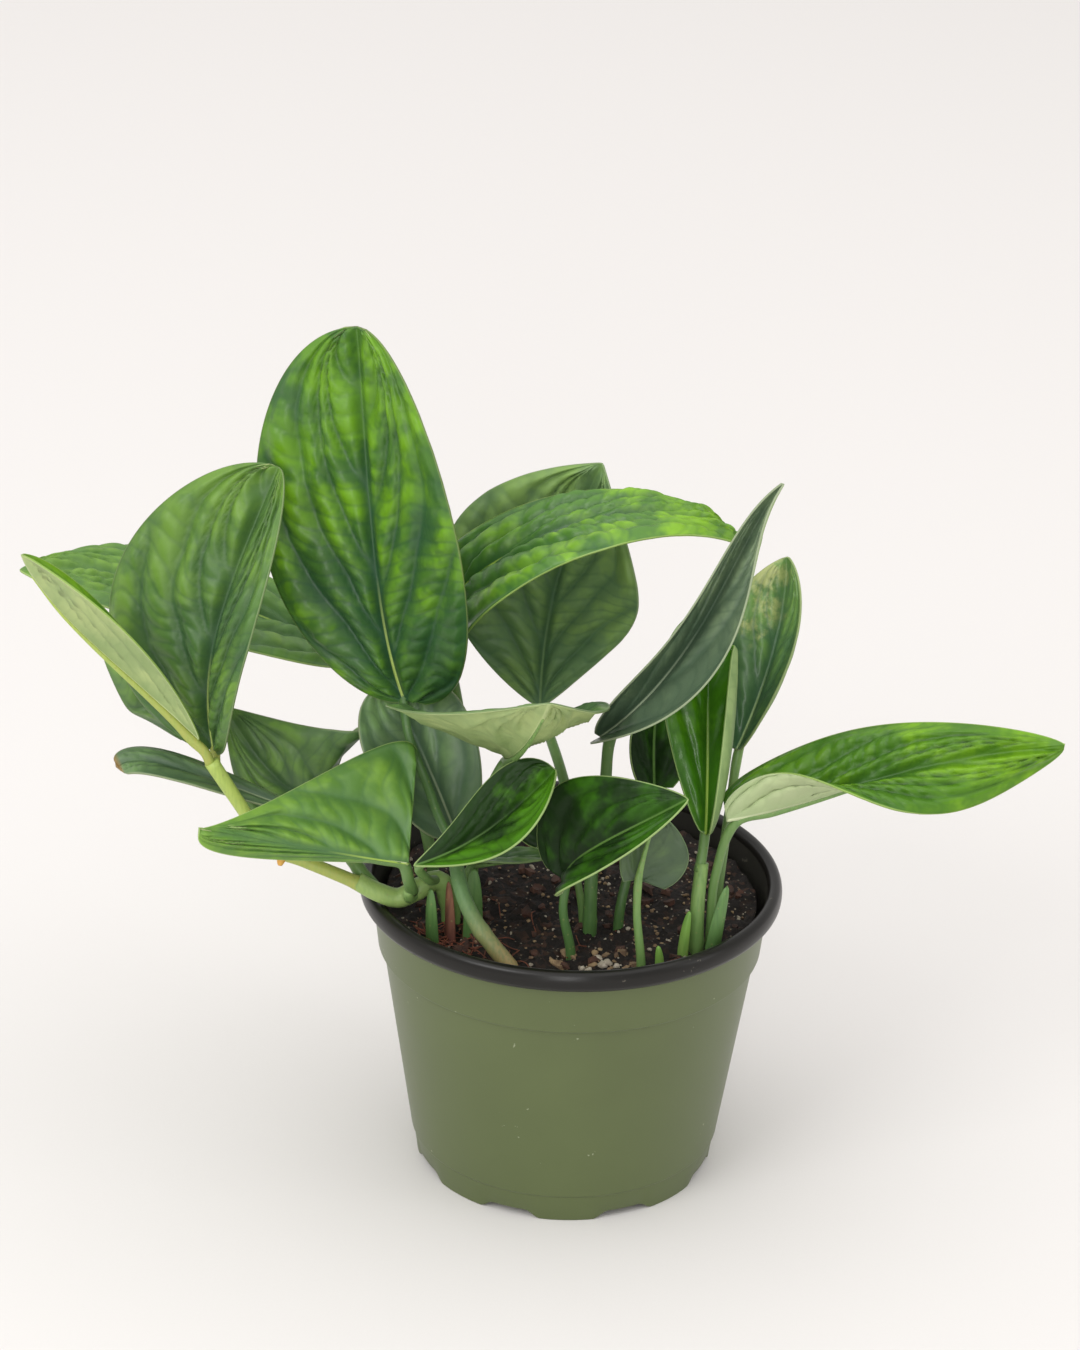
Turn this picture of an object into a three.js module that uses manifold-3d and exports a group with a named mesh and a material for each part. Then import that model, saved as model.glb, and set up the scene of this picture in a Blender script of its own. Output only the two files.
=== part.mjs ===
// A young Monstera karstenianum in a six inch nursery pot.
// Millimetres, +Z up. Everything is drawn round the pot's axis, with the pot standing on z = 0 and
// the front towards -Y. The finished pieces are then moved so that the middle of the plant's
// spread is over the origin.

import * as THREE from 'three';
import { mergeVertices } from 'three/addons/utils/BufferGeometryUtils.js';
import Module from 'manifold-3d';

const wasm = await Module();
wasm.setup();

// Pot
const POT_HEIGHT = 115;
const RIM_RADIUS = 77.5;
const RIM_DEPTH = 8;
const BAND_BOTTOM = 85;
const BAND_RADIUS = 71;
const BODY_TOP_RADIUS = 68.6;
const FOOT_RADIUS = 55.5;
const FOOT_LINE = 11.5;
const WALL = 1.6;
const FLOOR_UNDERSIDE = 6;
const POT_SIDES = 48;
const NOTCHES = 8;
const NOTCH_START = 24;
const NOTCH_WIDTH = 19;
const NOTCH_HEIGHT = 3;
const DRAIN_HOLES = 4;
const DRAIN_RADIUS = 5;
const DRAIN_CIRCLE = 32;

// Potting mix
const SOIL_TOP = 105;
const SOIL_RADIUS = 68.6;
const SOIL_BASE_RADIUS = 55;
const SOIL_RINGS = 4;
const SOIL_SIDES = 28;
const SOIL_BUMP = 1.6;
const LUMP_COUNT = 12;
const LUMP_SIZE = 2.4;

// Heights in the mix that stems and sheaths stand on
const ROOT_DEPTH = 92;
const SHEATH_DEPTH = 98;

// Clearance between pieces that touch
const GAP = 0.3;

// From the pot's axis to the middle of the plant's spread
const ORIGIN_SHIFT = [15.5, 1.4, 0];

// Leaves
const BLADE_THICKNESS = 0.8;
const VEIN_SWEEP = 0.32;
const QUILT = 1.1;
const MIDRIB_REACH = 0.62;
const MIDRIB_END_RADIUS = 0.55;
const SHEATH_THICKNESS = 2;
const TUBE_SIDES = 6;
const TUBE_STEP = 10;

const COLOURS = {
  pot: '#5d6f4b',
  soil: '#2b211b',
  leaf: '#3f7a2b',
  bright: '#57942c',
  dark: '#2c5a28',
  pale: '#9db878',
  stem: '#93ab5a',
  sheath: '#6f8f45',
  dry: '#6b3a33',
};

const rad = THREE.MathUtils.degToRad;
const vec = (p) => new THREE.Vector3(p[0], p[1], p[2]);

// Repeatable draw between 0 and 1 for item i of series k.
function draw(i, k) {
  const x = Math.sin(i * 127.1 + k * 311.7) * 43758.5453;
  return x - Math.floor(x);
}

// Closed mesh from vertices and triangles.
function meshFrom(vertices, triangles) {
  const geometry = new THREE.BufferGeometry();
  const flat = vertices.flatMap((v) => [v.x, v.y, v.z]);
  geometry.setAttribute('position', new THREE.Float32BufferAttribute(flat, 3));
  geometry.setIndex(triangles);
  return geometry;
}

function toSolid(geometry) {
  let g = geometry.clone();
  g.deleteAttribute('normal');
  g.deleteAttribute('uv');
  g = mergeVertices(g, 1e-4);
  return new wasm.Manifold(new wasm.Mesh({
    numProp: 3,
    vertProperties: new Float32Array(g.attributes.position.array),
    triVerts: new Uint32Array(g.index.array),
  }));
}

function toGeometry(solid) {
  const mesh = solid.getMesh();
  const geometry = new THREE.BufferGeometry();
  geometry.setAttribute('position', new THREE.BufferAttribute(mesh.vertProperties, 3));
  geometry.setIndex(new THREE.BufferAttribute(mesh.triVerts, 1));
  return geometry;
}

// What is left of a solid once the crumbs of a cut are dropped.
function largest(solid) {
  return solid.decompose().sort((a, b) => b.volume() - a.volume())[0];
}

const group = new THREE.Group();

function addNode(name, geometry, colour, roughness = 0.6) {
  const flat = geometry.index ? geometry.toNonIndexed() : geometry;
  flat.translate(...ORIGIN_SHIFT);
  flat.computeVertexNormals();
  const material = new THREE.MeshStandardMaterial({ color: colour, roughness, metalness: 0 });
  const mesh = new THREE.Mesh(flat, material);
  mesh.name = name;
  group.add(mesh);
}

// Skin over rings of points, closed at both ends by a fan.
function loft(rings) {
  const sides = rings[0].length;
  const vertices = rings.flat();
  const triangles = [];
  for (let i = 0; i < rings.length - 1; i++) {
    for (let j = 0; j < sides; j++) {
      const a = i * sides + j;
      const b = i * sides + (j + 1) % sides;
      triangles.push(a, b, b + sides, a, b + sides, a + sides);
    }
  }
  const last = (rings.length - 1) * sides;
  for (let j = 1; j < sides - 1; j++) {
    triangles.push(0, j + 1, j);
    triangles.push(last, last + j, last + j + 1);
  }
  return meshFrom(vertices, triangles);
}

// Round stem through the points; radii run from its foot to its end.
function stemTube(points, radii, extra = 0) {
  const curve = new THREE.CatmullRomCurve3(points, false, 'centripetal');
  const steps = Math.max(3, Math.round(curve.getLength() / TUBE_STEP));
  const frames = curve.computeFrenetFrames(steps);
  const rings = [];
  for (let i = 0; i <= steps; i++) {
    const u = i / steps;
    const centre = curve.getPointAt(u);
    const beyond = i === 0 ? -extra : i === steps ? extra : 0;
    centre.addScaledVector(curve.getTangentAt(u), beyond);
    const place = u * (radii.length - 1);
    const k = Math.min(Math.floor(place), radii.length - 2);
    const radius = THREE.MathUtils.lerp(radii[k], radii[k + 1], place - k) + extra;
    const ring = [];
    for (let j = 0; j < TUBE_SIDES; j++) {
      const angle = 2 * Math.PI * j / TUBE_SIDES;
      ring.push(centre.clone()
        .addScaledVector(frames.normals[i], radius * Math.cos(angle))
        .addScaledVector(frames.binormals[i], radius * Math.sin(angle)));
    }
    rings.push(ring);
  }
  return toSolid(loft(rings));
}

// Pot: one moulded wall with a rolled rim, a raised floor and a notched foot ring.
function makePot() {
  const inner = (outer) => outer - WALL;
  const rimBottom = POT_HEIGHT - RIM_DEPTH;
  const profile = [
    [0, FLOOR_UNDERSIDE],
    [FOOT_RADIUS - 2.5 * WALL, FLOOR_UNDERSIDE],
    [FOOT_RADIUS - 2 * WALL, 0],
    [FOOT_RADIUS - 0.4, 0],
    [FOOT_RADIUS + 1, FOOT_LINE - 0.6],
    [FOOT_RADIUS + 1.8, FOOT_LINE],
    [BODY_TOP_RADIUS, BAND_BOTTOM - 1],
    [BAND_RADIUS - 0.6, BAND_BOTTOM],
    [BAND_RADIUS + 1.6, rimBottom],
    [RIM_RADIUS - 1.6, rimBottom],
    [RIM_RADIUS - 0.3, rimBottom + 1.6],
    [RIM_RADIUS, POT_HEIGHT - 3.6],
    [RIM_RADIUS - 0.9, POT_HEIGHT - 1],
    [RIM_RADIUS - 2.8, POT_HEIGHT],
    [RIM_RADIUS - 4.6, POT_HEIGHT - 0.8],
    [RIM_RADIUS - 5.4, POT_HEIGHT - 3],
    [inner(BAND_RADIUS + 1), BAND_BOTTOM + 1],
    [inner(BODY_TOP_RADIUS), BAND_BOTTOM - 2],
    [inner(FOOT_RADIUS + 1.5), FLOOR_UNDERSIDE + WALL + 2],
    [inner(FOOT_RADIUS - 1), FLOOR_UNDERSIDE + WALL],
    [0, FLOOR_UNDERSIDE + WALL],
  ];
  const points = profile.map(([r, z]) => new THREE.Vector2(r, z));
  const lathe = new THREE.LatheGeometry(points, POT_SIDES);
  lathe.rotateX(Math.PI / 2);
  let pot = toSolid(lathe);
  const front = -Math.PI / 2;
  for (let i = 0; i < NOTCHES; i++) {
    const angle = front + rad(NOTCH_START + i * 360 / NOTCHES);
    const width = 2 * FOOT_RADIUS * Math.sin(rad(NOTCH_WIDTH / 2));
    const notch = new THREE.BoxGeometry(6 * WALL, width, 2 * NOTCH_HEIGHT);
    notch.translate(FOOT_RADIUS - WALL, 0, 0);
    notch.rotateZ(angle);
    pot = pot.subtract(toSolid(notch));
  }
  for (let i = 0; i < DRAIN_HOLES; i++) {
    const angle = rad(45 + i * 360 / DRAIN_HOLES);
    const hole = new THREE.CylinderGeometry(DRAIN_RADIUS, DRAIN_RADIUS, 20, 12);
    hole.rotateX(Math.PI / 2);
    hole.translate(DRAIN_CIRCLE * Math.cos(angle), DRAIN_CIRCLE * Math.sin(angle), FLOOR_UNDERSIDE);
    pot = pot.subtract(toSolid(hole));
  }
  return pot;
}

// Height of the mix's loose surface.
function soilHeight(x, y) {
  const wave = Math.sin(x * 0.21 + 1.3) * Math.cos(y * 0.17 - 0.4) + 0.6 * Math.sin(x * 0.53 - y * 0.41);
  return SOIL_TOP + SOIL_BUMP * 0.6 * wave;
}

// Potting mix: a plug that fills the pot, with a bumpy top and a few lumps of perlite and bark.
function makeSoil() {
  const floor = FLOOR_UNDERSIDE + WALL + GAP;
  const vertices = [new THREE.Vector3(0, 0, soilHeight(0, 0))];
  const triangles = [];
  const ringAt = (radius, height) => {
    for (let j = 0; j < SOIL_SIDES; j++) {
      const angle = 2 * Math.PI * j / SOIL_SIDES;
      const x = radius * Math.cos(angle);
      const y = radius * Math.sin(angle);
      vertices.push(new THREE.Vector3(x, y, height ?? soilHeight(x, y)));
    }
  };
  for (let i = 1; i <= SOIL_RINGS; i++) {
    ringAt(SOIL_RADIUS * i / SOIL_RINGS);
  }
  ringAt(BODY_TOP_RADIUS - WALL - 2, BAND_BOTTOM - 4);
  ringAt(SOIL_BASE_RADIUS - 2, floor + 3);
  ringAt(SOIL_BASE_RADIUS - 4, floor);
  vertices.push(new THREE.Vector3(0, 0, floor));
  const rings = SOIL_RINGS + 3;
  for (let j = 0; j < SOIL_SIDES; j++) {
    const next = (j + 1) % SOIL_SIDES;
    triangles.push(0, 1 + j, 1 + next);
    for (let i = 0; i < rings - 1; i++) {
      const a = 1 + i * SOIL_SIDES + j;
      const b = 1 + i * SOIL_SIDES + next;
      triangles.push(a, a + SOIL_SIDES, b + SOIL_SIDES, a, b + SOIL_SIDES, b);
    }
    const last = 1 + (rings - 1) * SOIL_SIDES;
    triangles.push(last + next, last + j, vertices.length - 1);
  }
  let soil = toSolid(meshFrom(vertices, triangles));
  for (let i = 0; i < LUMP_COUNT; i++) {
    const angle = 2 * Math.PI * draw(i, 1);
    const distance = 62 * Math.sqrt(draw(i, 2));
    const x = distance * Math.cos(angle);
    const y = distance * Math.sin(angle);
    const lump = new THREE.IcosahedronGeometry(LUMP_SIZE * (0.6 + draw(i, 3)), 0);
    lump.scale(1, 0.8, 0.6);
    lump.rotateZ(6 * draw(i, 4));
    lump.translate(x, y, soilHeight(x, y));
    soil = soil.add(toSolid(lump));
  }
  return soil;
}

// Leaf blade.
// rib: base, two handles and tip of the midrib's curve. face: the way the upper side looks, at
// base and tip. half: width of the left and right half, seen from above with the tip ahead.
// fold: how far each half rises from flat, at base and tip. curl: how far it turns on to its margin.
// shape: for each half, how narrow it starts at the base and how drawn out it is to the tip.
// lobe: how far the base lobes hang back.
function ribPoint(leaf, u) {
  const [a, b, c, d] = leaf.rib;
  const v = 1 - u;
  return new THREE.Vector3(
    ...[0, 1, 2].map((i) => v ** 3 * a[i] + 3 * v * v * u * b[i] + 3 * v * u * u * c[i] + u ** 3 * d[i]));
}

function ribFrame(leaf, u) {
  const [a, b, c, d] = leaf.rib;
  const v = 1 - u;
  const along = new THREE.Vector3(...[0, 1, 2].map((i) => (
    v * v * (b[i] - a[i]) + 2 * v * u * (c[i] - b[i]) + u * u * (d[i] - c[i])))).normalize();
  const up = vec(leaf.face[0]).lerp(vec(leaf.face[1]), u);
  up.addScaledVector(along, -up.dot(along)).normalize();
  const across = new THREE.Vector3().crossVectors(along, up);
  return { along, up, across };
}

function halfWidth(leaf, side, u) {
  const [a, b] = leaf.shape[side];
  const widest = a / (a + b);
  const v = THREE.MathUtils.clamp(u, 0, 1);
  return v ** a * (1 - v) ** b / (widest ** a * (1 - widest) ** b);
}

function bladePoint(leaf, t, s) {
  const k = Math.abs(s);
  const side = s < 0 ? 0 : 1;
  const u = t + VEIN_SWEEP * k * (1 - t) * t / (t + 0.15);
  const { along, up, across } = ribFrame(leaf, u);
  const spread = halfWidth(leaf, side, u);
  const width = leaf.half[side] * spread;
  const start = rad(THREE.MathUtils.lerp(leaf.fold[0][side], leaf.fold[1][side], u));
  const turn = rad(leaf.curl[side]) || 1e-3;
  const out = width * (Math.sin(start + turn * k) - Math.sin(start)) / turn;
  const rise = width * (Math.cos(start) - Math.cos(start + turn * k)) / turn;
  const hang = leaf.lobe * k * k * (1 - u) ** 6 * Math.sqrt(spread);
  const ripple = 1 - Math.cos(2 * Math.PI * leaf.veins * t);
  const quilt = QUILT * leaf.quilt * 2 * k * (1.1 - k) * spread * ripple;
  return ribPoint(leaf, u)
    .addScaledVector(across, Math.sign(s) * out)
    .addScaledVector(up, rise + quilt)
    .addScaledVector(along, -hang);
}

// Both skins of the blade, split alike, joined round the margin.
function makeBlade(leaf) {
  const rows = [0, 0.03, 0.08];
  for (let i = 1; i < 2 * leaf.veins; i++) {
    rows.push(i / (2 * leaf.veins));
  }
  rows.push(0.965, 1);
  const count = leaf.strips;
  const columns = [];
  for (let j = 0; j <= count; j++) {
    const s = 2 * j / count - 1;
    columns.push(Math.sign(s) * Math.abs(s) ** 0.9);
  }
  const vertices = [];
  const pairs = rows.map((t) => columns.map((s) => {
    const end = t === 0 || t === 1;
    const across = end ? 0 : s;
    const point = bladePoint(leaf, t, across);
    const e = 1e-3;
    const t0 = Math.max(t - e, 0);
    const t1 = Math.min(t + e, 1);
    const alongT = bladePoint(leaf, t1, across).sub(bladePoint(leaf, t0, across));
    const alongS = bladePoint(leaf, t, Math.min(across + e, 1))
      .sub(bladePoint(leaf, t, Math.max(across - e, -1)));
    const normal = end ? ribFrame(leaf, t).up : alongS.cross(alongT).normalize();
    return [
      point.clone().addScaledVector(normal, BLADE_THICKNESS / 2),
      point.clone().addScaledVector(normal, -BLADE_THICKNESS / 2),
    ];
  }));
  const triangles = [];
  const ids = pairs.map((row, i) => {
    if (i === 0 || i === rows.length - 1) {
      const id = vertices.length;
      vertices.push(row[0][0], row[0][1]);
      return row.map(() => [id, id + 1]);
    }
    return row.map((pair) => {
      vertices.push(pair[0], pair[1]);
      return [vertices.length - 2, vertices.length - 1];
    });
  });
  const face = (a, b, c) => {
    if (a[0] === b[0] || b[0] === c[0] || a[0] === c[0]) {
      return;
    }
    triangles.push(a[0], b[0], c[0], a[1], c[1], b[1]);
  };
  for (let i = 0; i < rows.length - 1; i++) {
    for (let j = 0; j < count; j++) {
      const [a, b, c, d] = [ids[i][j], ids[i][j + 1], ids[i + 1][j + 1], ids[i + 1][j]];
      if (j < count / 2) {
        face(a, b, c);
        face(a, c, d);
      } else {
        face(a, b, d);
        face(b, c, d);
      }
    }
    const left = [ids[i][0], ids[i + 1][0]];
    const right = [ids[i][count], ids[i + 1][count]];
    triangles.push(left[0][0], left[1][0], left[1][1], left[0][0], left[1][1], left[0][1]);
    triangles.push(right[0][0], right[0][1], right[1][1], right[0][0], right[1][1], right[1][0]);
  }
  return toSolid(meshFrom(vertices, triangles));
}

// The petiole, which runs on under the blade as its raised midrib.
function makePetiole(leaf, extra = 0) {
  const [footRadius, topRadius] = leaf.petiole;
  const reach = [0.02, 0.15, 0.3, 0.46, MIDRIB_REACH];
  const under = reach.map((u, i) => {
    const radius = THREE.MathUtils.lerp(topRadius, MIDRIB_END_RADIUS, i / (reach.length - 1));
    return ribPoint(leaf, u).addScaledVector(ribFrame(leaf, u).up, 0.1 - radius);
  });
  const path = [...leaf.path.map(vec), ...under];
  const whole = new THREE.CatmullRomCurve3(path, false, 'centripetal');
  const stalk = new THREE.CatmullRomCurve3(path.slice(0, leaf.path.length + 1), false, 'centripetal');
  const share = stalk.getLength() / whole.getLength();
  const radii = [footRadius];
  const parts = 10;
  for (let i = 1; i <= parts; i++) {
    const u = i / parts;
    radii.push(u < share
      ? THREE.MathUtils.lerp(footRadius, topRadius, u / share)
      : THREE.MathUtils.lerp(topRadius, MIDRIB_END_RADIUS, (u - share) / (1 - share)));
  }
  return stemTube(path, radii, extra);
}

// Pointed sheath, flat oval in section.
function makeSheath(sheath, extra = 0) {
  const curve = new THREE.QuadraticBezierCurve3(...sheath.path.map(vec));
  const angle = rad(sheath.facing);
  const side = new THREE.Vector3(Math.cos(angle), Math.sin(angle), 0);
  const front = new THREE.Vector3(Math.sin(angle), -Math.cos(angle), 0);
  const rings = [0, 0.3, 0.55, 0.75, 0.9, 1].map((u, i, all) => {
    const centre = curve.getPoint(u);
    centre.z += i === 0 ? -extra : i === all.length - 1 ? extra : 0;
    const taper = Math.sqrt(1 - u ** 3 * 0.97);
    const ring = [];
    for (let j = 0; j < TUBE_SIDES; j++) {
      const turn = 2 * Math.PI * j / TUBE_SIDES;
      ring.push(centre.clone()
        .addScaledVector(side, (sheath.broad * taper + extra) * Math.cos(turn))
        .addScaledVector(front, (SHEATH_THICKNESS / 2 * taper + extra) * -Math.sin(turn)));
    }
    return ring;
  });
  return toSolid(loft(rings));
}

const BIG = { veins: 4, strips: 8, quilt: 1, petiole: [2.4, 1.9], colour: 'leaf' };
const SMALL = { veins: 3, strips: 6, quilt: 0.6, petiole: [2, 1.4], colour: 'dark' };

// path: the petiole's points from its foot up to the blade; from: the stem it grows on, if any.
const LEAVES = [
  {
    name: 'leaf_crown', ...BIG, veins: 5, petiole: [1.8, 1.6], from: 'stem_middle',
    path: [[-42, -30, 140], [-47, -23, 145], [-53, -13, 156], [-60, -6, 172]],
    rib: [[-62, 2, 182], [-73, -2, 214], [-75, 8, 259], [-80, 13, 320]],
    face: [[-0.1, -1, 0.2], [-0.3, -0.9, 0.3]], half: [41, 44],
    fold: [[5, 15], [5, 25]], curl: [-5, 25], shape: [[0.8, 0.5], [0.5, 0.45]], lobe: 8,
  },
  {
    name: 'leaf_left', ...BIG, petiole: [1.8, 1.7], from: 'stem_left',
    path: [[-126, -24, 162], [-128, -19, 165]],
    rib: [[-129, -15, 168], [-134, -21, 202], [-127, -20, 224], [-106, -5, 273]],
    face: [[-0.35, -0.9, 0.3], [-0.3, -0.9, 0.3]], half: [42, 27],
    fold: [[0, 35], [5, 35]], curl: [0, 15], shape: [[0.65, 0.55], [0.65, 0.55]], lobe: 4,
  },
  {
    name: 'leaf_far_left', ...BIG, colour: 'pale', petiole: [1.8, 1.7], from: 'stem_left',
    path: [[-129, -25, 166], [-131, -26, 172]],
    rib: [[-133, -26, 177], [-154, -27, 202], [-181, -30, 222], [-193, -30, 248]],
    face: [[0.7, -0.1, 0.7], [0.7, -0.2, 0.7]], half: [21, 12],
    fold: [[60, 30], [55, 30]], curl: [5, 10], shape: [[1.1, 0.7], [1.1, 0.7]], lobe: 5,
  },
  {
    name: 'leaf_left_level', ...BIG, from: null,
    path: [[-50, 10, ROOT_DEPTH], [-52, 14, 114], [-62, 26, 145], [-78, 37, 173]],
    rib: [[-84, 41, 181], [-130, 36, 207], [-170, 29, 221], [-201, 19, 221]],
    face: [[0, -0.2, 1], [0, -0.3, 1]], half: [38, 32],
    fold: [[10, 15], [5, -10]], curl: [10, -30], shape: [[0.55, 0.8], [0.55, 0.8]], lobe: 5,
  },
  {
    name: 'leaf_left_small', ...SMALL, petiole: [1.4, 1.2], from: 'stem_left',
    path: [[-122, -25, 157], [-130, -10, 161]],
    rib: [[-137, 6, 160], [-137, 3, 181], [-149, 3, 195], [-171, 5, 204]],
    face: [[-0.2, -0.9, 0.2], [-0.2, -0.9, 0.3]], half: [20, 12],
    fold: [[0, 10], [5, 10]], curl: [-5, 10], shape: [[0.55, 0.65], [0.55, 0.65]], lobe: 2,
  },
  {
    name: 'leaf_centre_back', ...BIG, petiole: [2, 1.9], colour: 'dark', from: 'stem_centre',
    path: [[6, -21, 141], [0, -14, 148], [-6, 4, 158]],
    rib: [[-13, 29, 168], [-13, 43, 198], [-6, 45, 226], [7, 42, 259]],
    face: [[0, -1, 0.2], [-0.1, -0.9, 0.3]], half: [43, 37],
    fold: [[5, 15], [5, 25]], curl: [5, 25], shape: [[1.1, 0.95], [1.1, 0.95]], lobe: 8,
  },
  {
    name: 'leaf_arching', ...BIG, colour: 'bright', from: null,
    path: [[-36, 10, ROOT_DEPTH], [-37, 12, 118], [-42, 20, 165], [-47, 19, 200]],
    rib: [[-47, 18, 213], [-22, 8, 251], [34, 9, 263], [57, 6, 244]],
    face: [[0.5, -0.3, 0.8], [0.4, 0, 0.9]], half: [20, 31],
    fold: [[5, 5], [5, 5]], curl: [5, 10], shape: [[0.3, 0.8], [0.35, 0.6]], lobe: 13,
  },
  {
    name: 'leaf_cupped', ...BIG, colour: 'pale', from: 'stem_middle',
    path: [[-39, -30, 139], [-34, -25, 148], [-29, -18, 159]],
    rib: [[-25, -13, 168], [-24, -38, 178], [-17, -61, 192], [-10, -80, 220]],
    face: [[-0.1, 0.5, 0.9], [-0.1, 0.4, 0.9]], half: [38, 48],
    fold: [[27, 24], [0, 6]], curl: [15, 15], shape: [[0.5, 0.85], [0.5, 0.85]], lobe: 6,
  },
  {
    name: 'leaf_long', ...BIG, from: 'stem_centre',
    path: [[9, -18, 146], [11, -13, 157]],
    rib: [[9, -9, 174], [45, -29, 214], [51, -33, 259], [67, -46, 288]],
    face: [[0.3, -0.5, 0.8], [0.1, -0.6, 0.8]], half: [13, 29],
    fold: [[40, 30], [40, 25]], curl: [55, 60], shape: [[0.6, 1], [0.6, 1.1]], lobe: 5,
  },
  {
    name: 'leaf_back_right', ...BIG, petiole: [2, 1.6], from: null,
    path: [[52, -20, ROOT_DEPTH], [53, -18, 118], [56, -12, 147]],
    rib: [[58, -6, 169], [69, 8, 191], [75, 16, 212], [74, 21, 233]],
    face: [[-0.3, -0.9, 0.4], [-0.2, -0.9, 0.4]], half: [22, 22],
    fold: [[10, 40], [10, 30]], curl: [5, 55], shape: [[0.55, 0.65], [0.55, 0.65]], lobe: 4,
  },
  {
    name: 'leaf_glossy', ...BIG, quilt: 0.5, colour: 'bright', petiole: [2, 1.6], from: 'stem_right',
    path: [[45, -36, 135], [46, -34, 141]],
    rib: [[47, -31, 147], [48, -12, 194], [42, -3, 216], [55, -1, 210]],
    face: [[0, -1, 0.2], [0.2, -0.9, 0.3]], half: [18, 24],
    fold: [[5, 20], [5, 10]], curl: [15, 125], shape: [[0.75, 0.65], [0.75, 0.65]], lobe: 4,
  },
  {
    name: 'leaf_far_right', ...BIG, colour: 'bright', petiole: [1.8, 1.6], from: null,
    path: [[50, -36, ROOT_DEPTH], [50, -36, 112], [51, -36, 134]],
    rib: [[54, -37, 156], [101, -37, 169], [110, -40, 182], [170, -43, 192]],
    face: [[0.2, -0.35, 0.9], [0.4, -0.85, 0.5]], half: [21, 20],
    fold: [[5, 138], [0, -55]], curl: [0, 10], shape: [[0.3, 0.7], [0.45, 0.45]], lobe: 3,
  },
  {
    name: 'leaf_front_small', ...SMALL, strips: 8, from: null,
    path: [[1, -45, ROOT_DEPTH], [0, -46, 108], [-3, -46, 124]],
    rib: [[-3, -46, 136], [-2, -50, 147], [12, -58, 158], [39, -61, 176]],
    face: [[-0.1, -0.5, 0.9], [0, -0.6, 0.8]], half: [26, 19],
    fold: [[15, 30], [15, 25]], curl: [20, 20], shape: [[0.6, 0.8], [0.6, 0.8]], lobe: 1,
  },
  {
    name: 'leaf_dark_front', ...SMALL, strips: 8, from: 'stem_left',
    path: [[-49, -27, 124], [-51, -38, 130]],
    rib: [[-56, -49, 141], [-33, -50, 150], [-20, -49, 165], [-7, -47, 179]],
    face: [[-0.3, -0.7, 0.6], [-0.4, -0.7, 0.6]], half: [14, 23],
    fold: [[15, 25], [15, 30]], curl: [10, 25], shape: [[1, 0.45], [1.4, 0.7]], lobe: 5,
  },
  {
    name: 'leaf_big_front', ...BIG, colour: 'bright', from: 'stem_left',
    path: [[-57, -34, 123], [-58, -41, 131]],
    rib: [[-58, -46, 140], [-78, -51, 145], [-106, -63, 157], [-129, -71, 165]],
    face: [[0.1, -0.9, 0.45], [0, -0.9, 0.5]], half: [8, 46],
    fold: [[-75, -20], [-10, -50]], curl: [0, 5], shape: [[0.9, 0.25], [0.1, 1.2]], lobe: 3,
  },
  {
    name: 'leaf_middle', ...SMALL, strips: 8, from: 'stem_middle',
    path: [[-41, -32, 136], [-42, -21, 133]],
    rib: [[-43, -11, 137], [-55, -1, 164], [-64, 7, 178], [-67, 15, 181]],
    face: [[0.1, -0.9, 0.3], [0.1, -0.9, 0.4]], half: [24, 22],
    fold: [[20, 15], [20, 15]], curl: [30, 15], shape: [[0.6, 0.75], [0.6, 0.75]], lobe: 10,
  },
  {
    name: 'leaf_left_low', ...SMALL, strips: 8, from: 'stem_left',
    path: [[-90, -12, 139], [-92, -1, 140]],
    rib: [[-90, 9, 138], [-97, -3, 139], [-111, -3, 150], [-127, 14, 171]],
    face: [[0, -1, 0.2], [0, -0.9, 0.4]], half: [19, 36],
    fold: [[10, 10], [10, 15]], curl: [10, 15], shape: [[0.35, 0.9], [0.35, 0.9]], lobe: 12,
  },
  {
    name: 'leaf_twisted', ...SMALL, from: 'stem_left',
    path: [[-88, -14, 138], [-96, -16, 141]],
    rib: [[-103, -15, 146], [-138, -12, 158], [-157, -9, 164], [-164, -12, 159]],
    face: [[0.4, -0.4, 0.8], [0.3, -0.3, 0.9]], half: [12, 8],
    fold: [[20, -5], [15, 0]], curl: [15, -10], shape: [[0.5, 0.35], [0.5, 0.35]], lobe: 5,
  },
  {
    name: 'leaf_round_small', ...SMALL, colour: 'pale', petiole: [1.8, 1.3], from: null,
    path: [[26, -56, ROOT_DEPTH], [25, -55, 109], [23, -53, 127]],
    rib: [[23, -50, 139], [24, -48, 145], [26, -45, 152], [29, -41, 160]],
    face: [[0, 1, 0.1], [0, 1, 0.2]], half: [17, 8],
    fold: [[5, 5], [5, 5]], curl: [10, 10], shape: [[0.4, 0.5], [0.4, 0.5]], lobe: 7,
  },
  {
    name: 'leaf_dark_right', ...SMALL, from: null,
    path: [[17, -24, ROOT_DEPTH], [18, -23, 114], [24, -14, 138]],
    rib: [[29, -6, 153], [28, -1, 168], [28, 2, 178], [30, 4, 181]],
    face: [[0.1, -1, 0.3], [0.1, -1, 0.3]], half: [11, 13],
    fold: [[20, 10], [20, 10]], curl: [25, 5], shape: [[0.5, 0.8], [0.5, 0.8]], lobe: 5,
  },
  {
    name: 'leaf_low', ...SMALL, petiole: [1.6, 1.2], from: null,
    path: [[-36, -20, ROOT_DEPTH], [-38, -20, 114]],
    rib: [[-37, -18, 127], [-29, -12, 125], [-18, -9, 125], [-2, -9, 127]],
    face: [[-0.1, 0, 1], [-0.1, -0.1, 1]], half: [13, 12],
    fold: [[0, 15], [-5, 10]], curl: [-20, 15], shape: [[0.5, 0.85], [0.5, 0.85]], lobe: 5,
  },
  {
    name: 'leaf_inner', ...SMALL, petiole: [1.6, 1.2], from: null,
    path: [[5, -18, ROOT_DEPTH], [4, -18, 110], [0, -15, 125]],
    rib: [[-9, -10, 133], [-13, -7, 141], [-18, -5, 149], [-23, -2, 157]],
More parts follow.
